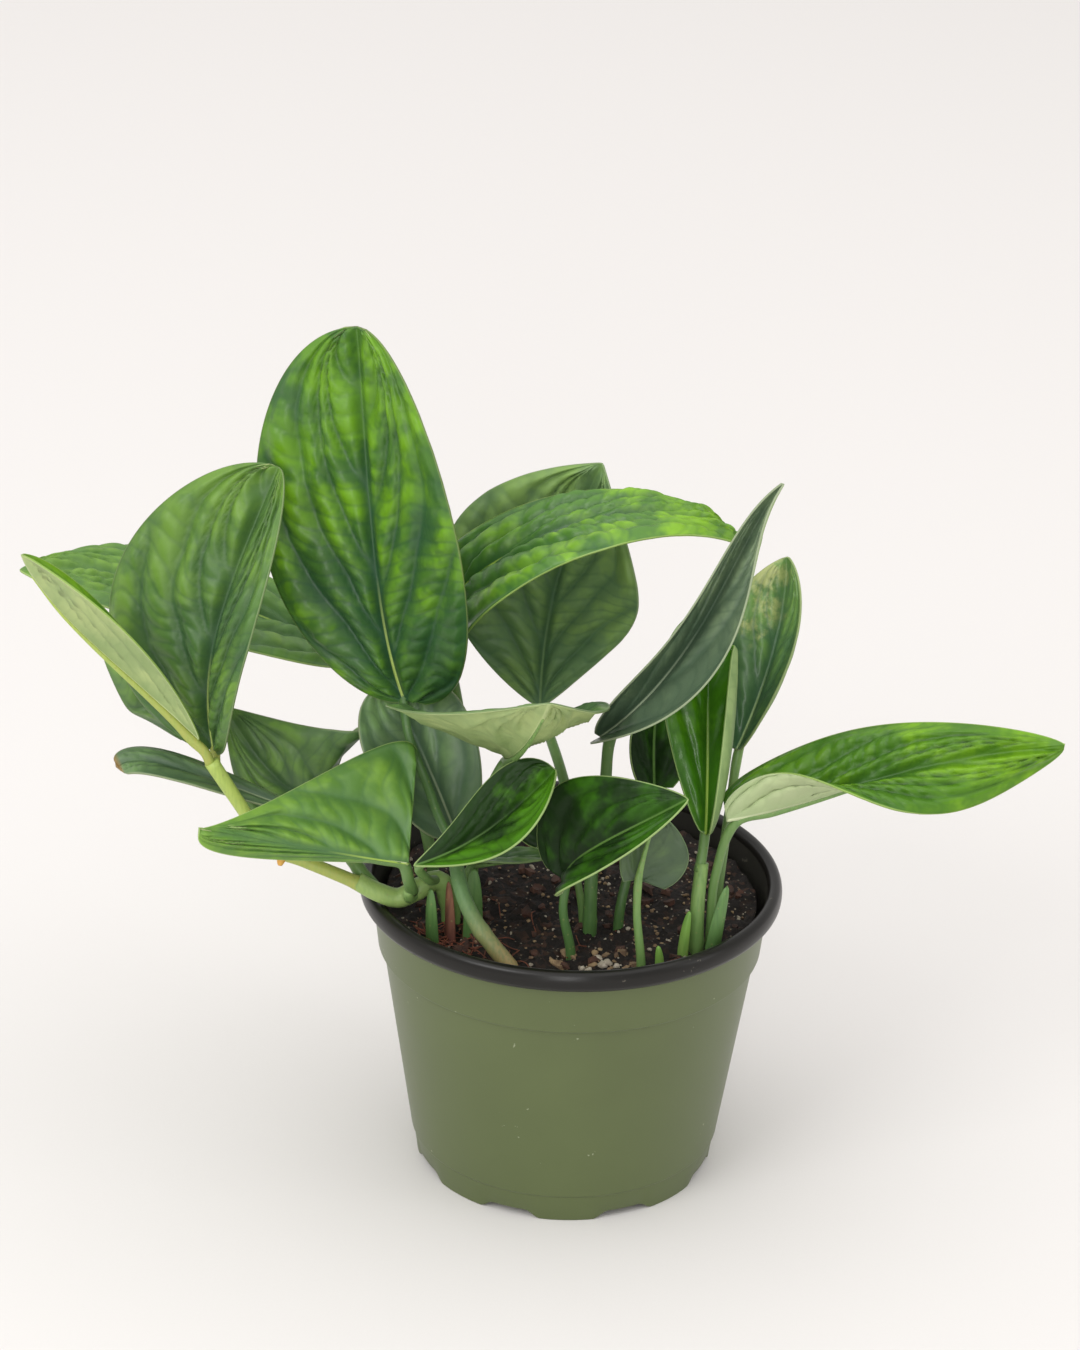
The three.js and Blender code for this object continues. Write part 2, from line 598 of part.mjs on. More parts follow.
    face: [[0, -1, 0.3], [0, -1, 0.3]], half: [10, 10],
    fold: [[5, 5], [5, 5]], curl: [5, 5], shape: [[0.5, 0.85], [0.5, 0.85]], lobe: 5,
  },
];

// Creeping stems, each with its forks fused in. Every tube's radii run from its foot to its end.
const SHOOTS = [
  {
    name: 'stem_left',
    tubes: [
      {
        radii: [3.2, 3.7, 3.8, 3.3],
        path: [
          [-43, -22, ROOT_DEPTH], [-44, -23, 114], [-48, -25, 123], [-55, -28, 121],
          [-62, -28, 117], [-70, -29, 120], [-77, -29, 124],
        ],
      },
      {
        radii: [2.6, 2.1, 2.7],
        path: [
          [-72, -29, 121], [-84, -30, 127], [-96, -30, 132], [-108, -30, 137],
          [-119, -26, 152], [-126, -25, 163], [-129, -25, 168],
        ],
      },
      { radii: [2.6, 2.2, 2], path: [[-70, -28, 120], [-79, -23, 129], [-86, -17, 136], [-91, -11, 140]] },
      { radii: [2.4, 2], path: [[-55, -28, 121], [-58, -33, 120], [-58, -36, 125]] },
    ],
  },
  {
    name: 'stem_middle',
    tubes: [
      {
        radii: [3.2, 2.9, 2.6],
        path: [
          [-21, -57, ROOT_DEPTH], [-21, -56, 104], [-27, -54, 112], [-33, -51, 119],
          [-38, -46, 127], [-41, -38, 135], [-41, -28, 140],
        ],
      },
    ],
  },
  {
    name: 'stem_centre',
    tubes: [
      { radii: [2.6, 2.4, 2.4], path: [[7, -28, ROOT_DEPTH], [7, -28, 106], [7, -25, 128], [8, -18, 148]] },
    ],
  },
  {
    name: 'stem_right',
    tubes: [
      {
        radii: [3, 2.6, 2.4],
        path: [[45, -39, ROOT_DEPTH], [45, -39, 106], [45, -38, 124], [46, -35, 138]],
      },
    ],
  },
];

// Short sheaths and buds round the stems. path: foot, middle and tip. broad: half width at the
// foot. facing: the way the flat side looks, in degrees round the pot from the front.
const SHEATHS = [
  {
    name: 'sheath_right', colour: 'stem', broad: 3, facing: 20,
    path: [[50, -43, SHEATH_DEPTH], [51, -44, 116], [55, -42, 133]],
  },
  {
    name: 'sheath_yellow', colour: 'pale', broad: 2, facing: -10,
    path: [[40, -44, SHEATH_DEPTH], [40, -44, 112], [42, -43, 123]],
  },
  {
    name: 'sheath_dry', colour: 'dry', broad: 2.2, facing: -30,
    path: [[-43, -34, SHEATH_DEPTH], [-43, -34, 113], [-44, -33, 127]],
  },
  {
    name: 'sheath_left', colour: 'sheath', broad: 3, facing: -40,
    path: [[-49, -36, SHEATH_DEPTH], [-50, -37, 114], [-50, -37, 126]],
  },
  {
    name: 'sheath_middle', colour: 'dark', broad: 3.6, facing: 0,
    path: [[-35, -34, SHEATH_DEPTH], [-35, -33, 116], [-35, -32, 132]],
  },
  {
    name: 'bud_front', colour: 'sheath', broad: 1.8, facing: 10,
    path: [[32, -53, SHEATH_DEPTH], [32, -53, 107], [31, -53, 114]],
  },
];

// Stems first, so that each leaf can be seated against its own.
const rooted = [];
const seats = {};
for (const shoot of SHOOTS) {
  const join = (extra) => shoot.tubes
    .map((tube) => stemTube(tube.path.map(vec), tube.radii, extra))
    .reduce((a, b) => a.add(b));
  seats[shoot.name] = join(GAP);
  rooted.push(seats[shoot.name]);
  addNode(shoot.name, toGeometry(join(0)), COLOURS.stem);
}

for (const leaf of LEAVES) {
  let solid = makeBlade(leaf).add(makePetiole(leaf));
  if (leaf.from) {
    solid = largest(solid.subtract(seats[leaf.from]));
  } else {
    rooted.push(makePetiole(leaf, GAP));
  }
  addNode(leaf.name, toGeometry(solid), COLOURS[leaf.colour], 0.45);
}

for (const sheath of SHEATHS) {
  rooted.push(makeSheath(sheath, GAP));
  addNode(sheath.name, toGeometry(makeSheath(sheath)), COLOURS[sheath.colour]);
}

addNode('pot', toGeometry(makePot()), COLOURS.pot, 0.5);

let soil = makeSoil();
for (const foot of rooted) {
  soil = soil.subtract(foot);
}
addNode('soil', toGeometry(soil), COLOURS.soil, 0.95);

export default group;
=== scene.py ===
# %% [markdown]
# # A young Monstera karstenianum in a six inch nursery pot
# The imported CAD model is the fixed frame: it says where every leaf, stem and pot wall is. This
# script keeps those places and dresses them with smooth, quilted leaves, round stems, a moulded
# pot and loose potting mix. Everything is drawn in millimetres round the pot's axis, because the
# pot is the one thing on the plant with a known size, and is turned to metres at the very end.

# %% Load the frame
import math
import random

import bmesh
import bpy
from mathutils import Matrix, Vector, noise


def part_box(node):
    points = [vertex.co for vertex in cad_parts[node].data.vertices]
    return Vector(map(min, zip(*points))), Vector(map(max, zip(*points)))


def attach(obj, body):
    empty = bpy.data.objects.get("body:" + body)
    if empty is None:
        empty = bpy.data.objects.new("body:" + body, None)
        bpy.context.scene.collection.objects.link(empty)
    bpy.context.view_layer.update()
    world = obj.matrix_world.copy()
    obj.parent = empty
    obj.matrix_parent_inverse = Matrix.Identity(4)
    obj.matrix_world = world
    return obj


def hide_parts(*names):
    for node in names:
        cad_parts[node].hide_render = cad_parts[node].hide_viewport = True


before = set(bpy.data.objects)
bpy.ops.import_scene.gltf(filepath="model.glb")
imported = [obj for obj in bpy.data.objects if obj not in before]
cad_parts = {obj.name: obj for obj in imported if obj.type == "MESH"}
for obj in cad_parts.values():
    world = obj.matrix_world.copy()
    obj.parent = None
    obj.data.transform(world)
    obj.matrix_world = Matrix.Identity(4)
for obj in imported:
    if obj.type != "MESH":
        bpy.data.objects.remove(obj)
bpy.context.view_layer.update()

pot_low, pot_high = (Vector(corner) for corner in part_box("pot"))
pot_axis = Vector(((pot_low.x + pot_high.x) / 2, (pot_low.y + pot_high.y) / 2, 0))
TO_FRAME = Matrix.Translation(pot_axis) @ Matrix.Scale(0.001, 4)
print("pot axis at x", round(pot_axis.x, 4), "and y", round(pot_axis.y, 4))

# %% [markdown]
# ## Camera
# The pot's rim and foot are circles, so their ovals in the photograph give the camera: it looks
# down 24.7 degrees from 1.4 m away, with a long lens and a slight roll. The lens is set by the
# picture's height, so the whole 1080 by 1350 frame is kept and nothing has to be shifted.

# %% Camera at the photograph's angle
PICTURE_HEIGHT = 1350
FOCAL_PIXELS = 3916
SENSOR_MM = 36
AIM_MM = Vector((-13.3, 0, 193.7))
DISTANCE_MM = 1400
PITCH, ROLL = math.radians(24.7), math.radians(1.5)


def new_object(name, data):
    """An object in the scene for a camera, a light or a mesh."""
    thing = bpy.data.objects.new(name, data)
    bpy.context.scene.collection.objects.link(thing)
    return thing


view_along = Vector((0, math.cos(PITCH), -math.sin(PITCH)))
level_up = Vector((0, math.sin(PITCH), math.cos(PITCH)))
level_right = Vector((1, 0, 0))
right = math.cos(ROLL) * level_right + math.sin(ROLL) * level_up
up = math.cos(ROLL) * level_up - math.sin(ROLL) * level_right

camera_data = bpy.data.cameras.new("photo_camera")
camera_data.sensor_fit = "VERTICAL"
camera_data.sensor_height = SENSOR_MM
camera_data.lens = FOCAL_PIXELS / PICTURE_HEIGHT * SENSOR_MM
camera = new_object("photo_camera", camera_data)
turn = Matrix((right, up, -view_along)).transposed().to_4x4()
camera.matrix_world = Matrix.Translation(TO_FRAME @ (AIM_MM - DISTANCE_MM * view_along)) @ turn
bpy.context.scene.camera = camera
print("lens", round(camera_data.lens, 1), "mm, camera at",
      [round(c, 3) for c in camera.matrix_world.translation])

# %% [markdown]
# ## Colours and nodes
# Colours are written the way a colour picker shows them, as sRGB hex. Shaders count in linear
# light, so one function turns each of them. A second small function adds a node with its
# settings and its links, and hands back the output that the next node needs. A finish is built up
# as a painter would: coat over coat, each only where a pattern or a vein lets it through.

# %% Colour and node helpers
MIX_A, MIX_B, MIX_COLOUR = 6, 7, 2
SOFT, EVEN = "SMOOTHSTEP", "LINEAR"


def srgb(code):
    """Linear colour, with alpha, of a hex value such as #64754f."""
    parts = [int(code[i:i + 2], 16) / 255 for i in (1, 3, 5)]
    linear = [p / 12.92 if p <= 0.04045 else ((p + 0.055) / 1.055) ** 2.4 for p in parts]
    return (*linear, 1)


def add(tree, kind, inputs, out=0, **settings):
    """Adds a node, fills its inputs with values or other nodes' outputs, returns one output."""
    node = tree.nodes.new("ShaderNode" + kind)
    for key, value in settings.items():
        setattr(node, key, value)
    for key, value in inputs.items():
        if isinstance(value, bpy.types.NodeSocket):
            tree.links.new(value, node.inputs[key])
        else:
            node.inputs[key].default_value = value
    return node.outputs[out]


def new_material(name):
    """A new material, its empty tree and the object's coordinates, for the caller to fill in."""
    material = bpy.data.materials.new(name)
    material.use_nodes = True
    tree = material.node_tree
    tree.nodes.clear()
    return material, tree, add(tree, "TexCoord", {}, out="Object")


def paint(tree, colour, *coats):
    """Lays coats over a colour, one after the other. A coat is the value that it follows, the two
    ends of that value's range, its strength at each end, SOFT or EVEN between them, and its ink."""
    for value, start, end, at_start, at_end, passage, ink in coats:
        mask = add(tree, "MapRange", {"Value": value, "From Min": start, "From Max": end,
                                      "To Min": at_start, "To Max": at_end},
                   interpolation_type=passage)
        colour = add(tree, "Mix", {0: mask, MIX_A: colour, MIX_B: srgb(ink)},
                     out=MIX_COLOUR, data_type="RGBA")
    return colour


def surface(tree, colour, roughness, height, relief_mm, strength, sunken=False, **constants):
    """The bump, the shader and the output. constants are numbers on the shader's own sockets."""
    bump = add(tree, "Bump", {"Height": height, "Strength": strength, "Distance": relief_mm / 1000},
               invert=sunken)
    inputs = {"Base Color": colour, "Roughness": roughness, "Normal": bump}
    inputs.update({key.replace("_", " "): value for key, value in constants.items()})
    shader = add(tree, "BsdfPrincipled", inputs)
    output = tree.nodes.new("ShaderNodeOutputMaterial")
    tree.links.new(shader, output.inputs["Surface"])


print("#64754f is", [round(c, 3) for c in srgb("#64754f")[:3]], "in linear light")

# %% [markdown]
# ## Studio
# The plant stands on a pale seamless surface in a soft, almost shadowless light. One very large
# panel overhead lights the floor evenly and gives the leaves that look up their whitish sheen.
# Others from the left front and the right shape the pot and the quilting, and one beside the
# camera opens the shadows under the upper leaves.

# %% Floor and soft lights
FLOOR_SIZE_M = 16
SURROUND = 0.72
# Each panel's place, what it looks at, its size, all in metres, and its watts.
PANELS = {
    "panel_overhead": ((-0.6, -0.8, 3.6), (-0.4, -0.6, 0), (7.0, 7.0), 140),
    "panel_left_front": ((-2.9, -3.1, 3.2), (0, 0, 0.15), (2.4, 2.0), 70),
    "panel_camera": ((-0.1, -3.5, 1.2), (0, 0, 0.2), (0.5, 2.4), 28),
    "panel_right": ((1.7, -0.6, 0.7), (0, 0, 0.12), (0.5, 1.0), 2.5),
}


def to_object(name, bm):
    """Ends a bmesh and shows it as an object."""
    mesh = bpy.data.meshes.new(name)
    bm.to_mesh(mesh)
    bm.free()
    return new_object(name, mesh)


floor_mesh = bmesh.new()
bmesh.ops.create_grid(floor_mesh, x_segments=1, y_segments=1, size=FLOOR_SIZE_M / 2)
floor = to_object("studio_floor", floor_mesh)
paper, tree, coords = new_material("seamless_paper_matt")
grain = add(tree, "TexNoise", {"Vector": coords, "Scale": 900.0, "Detail": 2.0})
tint = paint(tree, srgb("#dfdcda"), (grain, 0, 1, 0, 1, EVEN, "#e1dedc"))
surface(tree, tint, 0.9, grain, 0.1, 0.02, Specular_IOR_Level=0.0)
floor.data.materials.append(paper)

for panel_name, (place, aim, size, watts) in PANELS.items():
    panel = bpy.data.lights.new(panel_name, "AREA")
    panel.shape = "RECTANGLE"
    panel.size, panel.size_y = size
    panel.energy = watts
    light = new_object(panel_name, panel)
    light.location = place
    light.rotation_euler = (Vector(aim) - Vector(place)).to_track_quat("-Z", "Y").to_euler()

world = bpy.data.worlds.new("even_surround")
world.use_nodes = True
background = world.node_tree.nodes["Background"]
background.inputs["Color"].default_value = srgb("#f8f6f4")
background.inputs["Strength"].default_value = SURROUND
bpy.context.scene.world = world
bpy.context.scene.view_settings.view_transform = "Standard"
print("floor", FLOOR_SIZE_M, "m wide,", len(PANELS), "soft panels and an even surround")

# %% [markdown]
# ## From a flat grid to a shape
# Leaves, stems, sheaths and the mix's surface are all skins over two directions, so they start
# the same way: a flat grid of bmesh, each point of which is then moved to where that skin goes.
# That keeps the faces in tidy rows, which is what a smooth, quilted surface wants, and rolling
# a grid up to a tube only needs its seam merged.

# %% Grid helper and finishing a piece
MERGE_MM = 0.004


def skin(bm, columns, rows, shape, material=0):
    """Lays a grid into bm. shape(a, b, vert) gives the place at a across and b along, 0 to 1."""
    verts = bmesh.ops.create_grid(bm, x_segments=columns, y_segments=rows, size=0.5)["verts"]
    faces = dict.fromkeys(face for vert in verts for face in vert.link_faces)
    for vert in verts:
        vert.co = shape(vert.co.x + 0.5, vert.co.y + 0.5, vert)
    for face in faces:
        face.smooth = True
        face.material_index = material
    bmesh.ops.remove_doubles(bm, verts=verts, dist=MERGE_MM)
    return [face for face in faces if face.is_valid]


def finish_piece(name, bm, materials, slot, *nodes):
    """Turns a bmesh in millimetres into a named piece of the visual model."""
    bmesh.ops.transform(bm, matrix=TO_FRAME, space=Matrix.Identity(4), verts=bm.verts)
    piece = to_object(name, bm)
    for material in materials:
        piece.data.materials.append(material)
    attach(piece, "root")
    if nodes:
        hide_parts(*nodes)
    print(f"{name}: {len(piece.data.polygons)} faces")


print("points closer than", MERGE_MM, "mm become one")

# %% [markdown]
# ## Leaf skins
# A leaf of this Monstera is thick and waxy above, with sunken veins between raised cells, and
# pale and matt below. The blade's mesh carries the pattern as attributes: how far a point is from
# the midrib and from the margin in millimetres, and which lateral vein and cross vein it is next
# to. The skin only reads them, so veins stay on the leaf whatever way it curls. The wax has the
# usual index of plant cuticle, close to 1.45, and a satin roughness.
# The sunken veins and the midrib's channel are darkened with painted shade as well.

# %% Leaf skin material
NET_MM, MOTTLE_MM, SHADE_MM, DAB_MM = 2.4, 15, 34, 9
CUTICLE_IOR = 1.45
ATTRIBUTES = ("vein", "cross", "rib_mm", "margin_mm", "along", "half")


def leaf_skin(name, colours, roughness, streak=None, rib_fade=0.42, depth=1.0, wax=0.5, lit=0.0,
              scorch=None):
    """Living leaf, waxed or matt. Colours: cells, their brighter patches, the painted shade of the
    veins' valleys, midrib line, margin; streak is the cream of a variegated sector, if there is
    one.
    rib_fade is how far up the midrib's line stays pale, depth how much darker the valleys' painted
    shade is, wax the strength of the reflection, lit how much brighter, as painted light, the right
    half is than the left, and scorch the brown of a dried tip, if there is one."""
    material, tree, coords = new_material(name)
    cell, glow, valley_shade, line, edge = colours.split()
    vein, cross, rib, margin, along, half = (
        add(tree, "Attribute", {}, out="Fac", attribute_name=attribute) for attribute in ATTRIBUTES)
    to_vein, to_cross = (
        add(tree, "Math", {0: value, 1: 0.5}, operation="PINGPONG") for value in (vein, cross))
    mottle, shades = (
        add(tree, "TexNoise",
            {"Vector": coords, "Scale": 1000 / size, "Detail": detail, "Roughness": rough})
        for size, detail, rough in ((MOTTLE_MM, 3.0, 0.6), (SHADE_MM, 2.0, 0.5)))

    # Brighter patches over the cells, more of them towards the tip and, by lit, more on the right
    # half, which is painted light; then larger, bluer and darker shades, more of them towards the
    # base.
    tipwards = add(tree, "Math", {0: along, 1: 0.16, 2: mottle}, operation="MULTIPLY_ADD")
    tipwards = add(tree, "Math", {0: half, 1: lit, 2: tipwards}, operation="MULTIPLY_ADD")
    basewards = add(tree, "Math", {0: along, 1: -0.2, 2: shades}, operation="MULTIPLY_ADD")
    colour = paint(tree, srgb(cell), (tipwards, 0.5, 0.72, 0, 1, SOFT, glow),
                   (basewards, 0.36, 0.56, 0, 0.5 * depth, SOFT, valley_shade))
    if streak:
        # Cream dabs on the left half, towards the tip.
        brush = add(tree, "TexNoise", {"Vector": coords, "Scale": 1000 / DAB_MM, "Detail": 5.0,
                                       "Roughness": 0.65})
        sector = add(tree, "MapRange",
                     {"Value": along, "From Min": 0.4, "From Max": 0.75, "To Max": 0.22})
        dabs = add(tree, "Math", {0: brush, 1: sector}, operation="ADD")
        dabs = add(tree, "Math", {0: half, 1: -0.16, 2: dabs}, operation="MULTIPLY_ADD")
        colour = paint(tree, colour, (dabs, 0.68, 0.86, 0, 0.85, SOFT, streak))

    # Painted shade in the valleys along the lateral veins, a wide soft one and a thin one in it,
    # then in the cross veins and the midrib's channel. All of them grow faint where they run
    # together at the tip.
    faint = add(tree, "MapRange", {"Value": along, "From Min": 0.55, "From Max": 0.95,
                                   "To Min": 1.0, "To Max": 0.25})
    for distance, near, far, most in ((to_vein, 0, 0.42, 0.5), (to_vein, 0, 0.1, 0.4),
                                      (to_cross, 0, 0.2, 0.35), (rib, 0.3, 3.4, 0.85)):
        deepest = add(tree, "Math", {0: faint, 1: most * depth}, operation="MULTIPLY")
        colour = paint(tree, colour, (distance, near, far, deepest, 0, SOFT, valley_shade))
    # The midrib's line, pale at the base only, then the thin margin and the dried tip.
    pale = add(tree, "MapRange", {"Value": along, "From Min": rib_fade / 3, "From Max": rib_fade,
                                  "To Min": 0.85, "To Max": 0.0})
    colour = paint(tree, colour, (rib, 0.3, 0.6, pale, 0, EVEN, line),
                   (margin, 0.1, 0.4, 0.8, 0, EVEN, edge))
    if scorch:
        colour = paint(tree, colour, (along, 0.93, 0.98, 0, 0.9, EVEN, scorch))

    net = add(tree, "TexVoronoi", {"Vector": coords, "Scale": 1000 / NET_MM}, feature="SMOOTH_F1")
    pores = add(tree, "TexNoise", {"Vector": coords, "Scale": 2600.0, "Detail": 1.0})
    height = add(tree, "Math", {0: pores, 1: 0.25, 2: net}, operation="MULTIPLY_ADD")
    shine = add(tree, "MapRange",
                {"Value": mottle, "To Min": roughness - 0.06, "To Max": roughness + 0.08})
    surface(tree, colour, shine, height, 0.3, 0.35, sunken=True, IOR=CUTICLE_IOR,
            Specular_IOR_Level=wax)
    return material


print("a leaf's net is", NET_MM, "mm wide, its bright patches", MOTTLE_MM, "mm, its shades",
      SHADE_MM, "mm")

# %% [markdown]
# The upper skins go from the fresh bright green of young leaves to the deep green of old ones
# in the shade, and the undersides from yellow-green to grey-green.

# %% The leaf skins of this plant
SKINS = {
    "mature": leaf_skin("leaf_waxed_mature", "#467028 #6a9b1c #2a4f37 #b9cd6e #6f8448",
                        0.33, wax=0.42),
    "bright": leaf_skin("leaf_waxed_young", "#528019 #72a11a #3a6424 #b3cf5c #93ad5c",
                        0.33, wax=0.3),
    "arched": leaf_skin("leaf_waxed_arched", "#4d7a28 #7aaa20 #2f5a2c #b3cf5c #93ad5c", 0.33),
    "velvety": leaf_skin("leaf_waxed_velvety", "#588132 #709834 #436a3a #b3cf5c #9db56c",
                         0.46, wax=0.55),
    "dull": leaf_skin("leaf_waxed_dull", "#507434 #668b35 #385838 #b9cd6e #75895a", 0.4, wax=0.42),
    "glossy": leaf_skin("leaf_waxed_glossy", "#3b6f12 #558f12 #295212 #8fae45 #93ad6a",
                        0.22, depth=0.6, wax=0.4),
    "deep": leaf_skin("leaf_waxed_deep", "#5a7a45 #6e9344 #42603f #5f7c48 #75895a", 0.4),
    # This skin is lighter and greyer, partly painted sheen over a leaf in the shade.
    "hazy": leaf_skin("leaf_waxed_haze_and_painted_sheen", "#6c8a58 #7f9f56 #4a6a4c #6f8c5a #7f9468",
                      0.44, depth=0.9, wax=0.35),
    # Shaded skin: dark with painted shade, and lit paints a little light on its right half.
    "dark": leaf_skin("leaf_waxed_shaded", "#1a350e #356510 #14270f #648a42 #9db574",
                      0.42, rib_fade=1.5, depth=0.6, wax=0.22, lit=0.1),
    # Painted light: the right half of this leaf is brighter than the left.
    "two_toned": leaf_skin("leaf_waxed_half_painted_light", "#1c380e #477c14 #15290f #557a38 #9db574",
                           0.42, rib_fade=0.6, depth=0.6, wax=0.22, lit=0.3),
    "scorched": leaf_skin("leaf_waxed_scorched_tip", "#5f7a50 #70905a #49634a #8f9f7c #8a9670",
                          0.4, scorch="#8d6f3f"),
    "greyish": leaf_skin("leaf_waxed_greyish", "#5f7a50 #70905a #49634a #8f9f7c #8a9670", 0.38),
    # Grey-green, with paler midrib and margin lines, partly painted sheen.
    "dusty": leaf_skin("leaf_waxed_grey_painted_sheen", "#65795e #7b8f6c #485e49 #a9b79a #9aa685", 0.34),
    "cream": leaf_skin("leaf_variegated", "#55794a #6a9048 #3e6140 #9db57a #8fa068",
                       0.34, streak="#b4ba78"),
    "under": leaf_skin("leaf_underside_matt", "#97aa70 #a9b87a #7f965c #c3cf97 #b9c994",
                       0.6, rib_fade=1.4, depth=0.7),
    "under_pale": leaf_skin("leaf_underside_pale", "#abb88b #b8c695 #92a674 #cdd6ad #c6d2ab",
                            0.6, rib_fade=1.4, depth=0.5),
    "under_green": leaf_skin("leaf_underside_green", "#7a935c #8aa266 #66824a #a8bb7e #a3b67a",
                             0.6, rib_fade=1.4, depth=0.7),
    "under_dark": leaf_skin("leaf_underside_shaded", "#485c40 #536a42 #3b4e37 #6f8658 #7d9468",
                            0.5, rib_fade=1.4, depth=0.7),
}
print("leaf skins:", ", ".join(SKINS))

# %% [markdown]
# ## Stem skins
# Petioles and creeping stems are smooth, juicy and slightly ribbed lengthwise. They are paler
# where the light has not reached them, and darker towards the nodes. The colour follows how far
# along the stem a point is, with fine streaks and small corky dots over it.

# %% Stem skin material
STREAK_MM = 1.1
DOT_MM = 2.8
CORK = "#8a8a55"


def stem_skin(name, colours, roughness=0.42, reach=1.0):
    """Smooth green stem: its colour runs from foot to top, with fine streaks and corky dots. The
    colours are the foot's, the top's and the streaks', and reach is the share of the stem over
    which the foot's goes over into the top's."""
    material, tree, coords = new_material(name)
    foot, top, streak = colours.split()
    along = add(tree, "Attribute", {}, out="Fac", attribute_name="along")
    stretched = add(tree, "Mapping", {"Vector": coords, "Scale": (1.0, 1.0, 0.12)})
    lines = add(tree, "TexNoise", {"Vector": stretched, "Scale": 1000 / STREAK_MM, "Detail": 2.0})
    dots = add(tree, "TexVoronoi", {"Vector": coords, "Scale": 1000 / DOT_MM}, feature="F1")
    colour = paint(tree, srgb(foot), (along, 0, reach, 0, 1, SOFT, top),
                   (lines, 0.42, 0.7, 0, 0.55, EVEN, streak),
                   (dots, 0.1, 0.17, 0.45, 0, EVEN, CORK))
    surface(tree, colour, roughness, lines, 0.2, 0.3, IOR=CUTICLE_IOR)
    return material


STEMS = {
    "pale": stem_skin("stem_pale_green", "#a3a954 #a9bd5f #8fa851"),
    "green": stem_skin("stem_green", "#5f7f45 #7a9a55 #557a40"),
    "deep": stem_skin("stem_deep_green", "#4a6b38 #5d8245 #3f6234"),
    "scaly": stem_skin("stem_with_brown_scales", "#a08055 #587a48 #4a6a40", 0.5, reach=0.7),
    "elbow": stem_skin("stem_elbow_green", "#6a8d4c #94ae62 #7d9c56"),
    "papery": stem_skin("sheath_papery_brown", "#5d342c #8a5f45 #472824", 0.7),
    "young": stem_skin("sheath_young_green", "#7f9a4f #6f9a42 #5f8a3c"),
    "orange": stem_skin("root_tip_orange", "#c08f45 #d8a850 #c08638", 0.5),
}
print("stem skins:", ", ".join(STEMS))

# %% [markdown]
# ## Stems
# A stem follows a smooth curve through a few points, and the same few points are the ones in the
# CAD source, so the round stem here lies inside its faceted solid there. Each ring of the tube is
# carried along the curve without twisting.

# %% Curve and tube
CURVE_PARTS = 14


def path_length(points):
    return sum((b - a).length for a, b in zip(points, points[1:]))


def smooth_path(points, count):
    """count + 1 evenly spaced points on a centripetal curve through the points."""
    ends = [2 * points[0] - points[1], *points, 2 * points[-1] - points[-2]]
    fine = []
    for p0, p1, p2, p3 in zip(ends, ends[1:], ends[2:], ends[3:]):
        t1 = (p1 - p0).length ** 0.5
        t2 = t1 + (p2 - p1).length ** 0.5
        t3 = t2 + (p3 - p2).length ** 0.5
        for i in range(CURVE_PARTS):
            t = t1 + (t2 - t1) * i / CURVE_PARTS
            a = p0.lerp(p1, t / t1)
            b = p1.lerp(p2, (t - t1) / (t2 - t1))
            c = p2.lerp(p3, (t - t2) / (t3 - t2))
            near, far = a.lerp(b, t / t2), b.lerp(c, (t - t1) / (t3 - t1))
            fine.append(near.lerp(far, (t - t1) / (t2 - t1)))
    fine.append(points[-1].copy())
    reach = [0.0]
    for a, b in zip(fine, fine[1:]):
        reach.append(reach[-1] + (b - a).length)
    even = []
    k = 0
    for i in range(count + 1):
        want = reach[-1] * i / count
        while k < len(reach) - 2 and reach[k + 1] < want:
            k += 1
        even.append(fine[k].lerp(fine[k + 1], (want - reach[k]) / (reach[k + 1] - reach[k])))
    return even


def close_ends(bm, faces, sides, material=0):
    """Fills a tube's open ends and turns its faces outwards."""
    rim = dict.fromkeys(edge for face in faces for edge in face.edges if edge.is_boundary)
    caps = bmesh.ops.holes_fill(bm, edges=list(rim), sides=sides)["faces"]
    for cap in caps:
        cap.material_index = material
    bmesh.ops.recalc_face_normals(bm, faces=faces + caps)


def tube(bm, points, radius, sides=16, step_mm=2.0, material=0, groove=0.0):
    """Round stem through the points. radius(u) is its radius in mm from foot, 0, to end, 1."""
    points = [Vector(p) for p in points]
    rows = max(6, round(path_length(points) / step_mm))
    path = smooth_path(points, rows)
    along = bm.verts.layers.float["along"]
    sideways = []
    side = Vector((0, -1, 0))
    for i in range(rows + 1):
        tangent = (path[min(i + 1, rows)] - path[max(i - 1, 0)]).normalized()
        side = (side - tangent * side.dot(tangent)).normalized()
        sideways.append((side.copy(), tangent.cross(side)))

    def shape(a, b, vert):
        i = round(b * rows)
        angle = 2 * math.pi * a
        normal, other = sideways[i]
        # A shallow groove along the side that looks up.
        dent = 1 - groove * max(0.0, math.cos(angle)) ** 6
        vert[along] = b
        return path[i] + radius(b) * dent * (math.cos(angle) * normal + math.sin(angle) * other)

    close_ends(bm, skin(bm, sides, rows, shape, material), sides, material)


def between(values, u):
    """The value at u, from 0 to 1, on straight lines through evenly spaced values."""
    place = min(max(u, 0.0), 1.0) * (len(values) - 1)
    k = min(int(place), len(values) - 2)
    return values[k] + (values[k + 1] - values[k]) * (place - k)


corner = [Vector((0, 0, 0)), Vector((10, 0, 0)), Vector((10, 0, 10))]
print("a corner of 20 mm is smoothed to", round(path_length(smooth_path(corner, 20)), 1), "mm")

# %% [markdown]
# The plant creeps: its stems lie over the rim and fork, and each fork ends where a leaf's petiole
# begins. The left one is long, pale and bent like an elbow. At the nodes a stem is a little
# thicker, with a ring where an old sheath sat.

# %% The creeping stems
NODE_RING_MM = 0.35
NODE_SHARE = 0.025
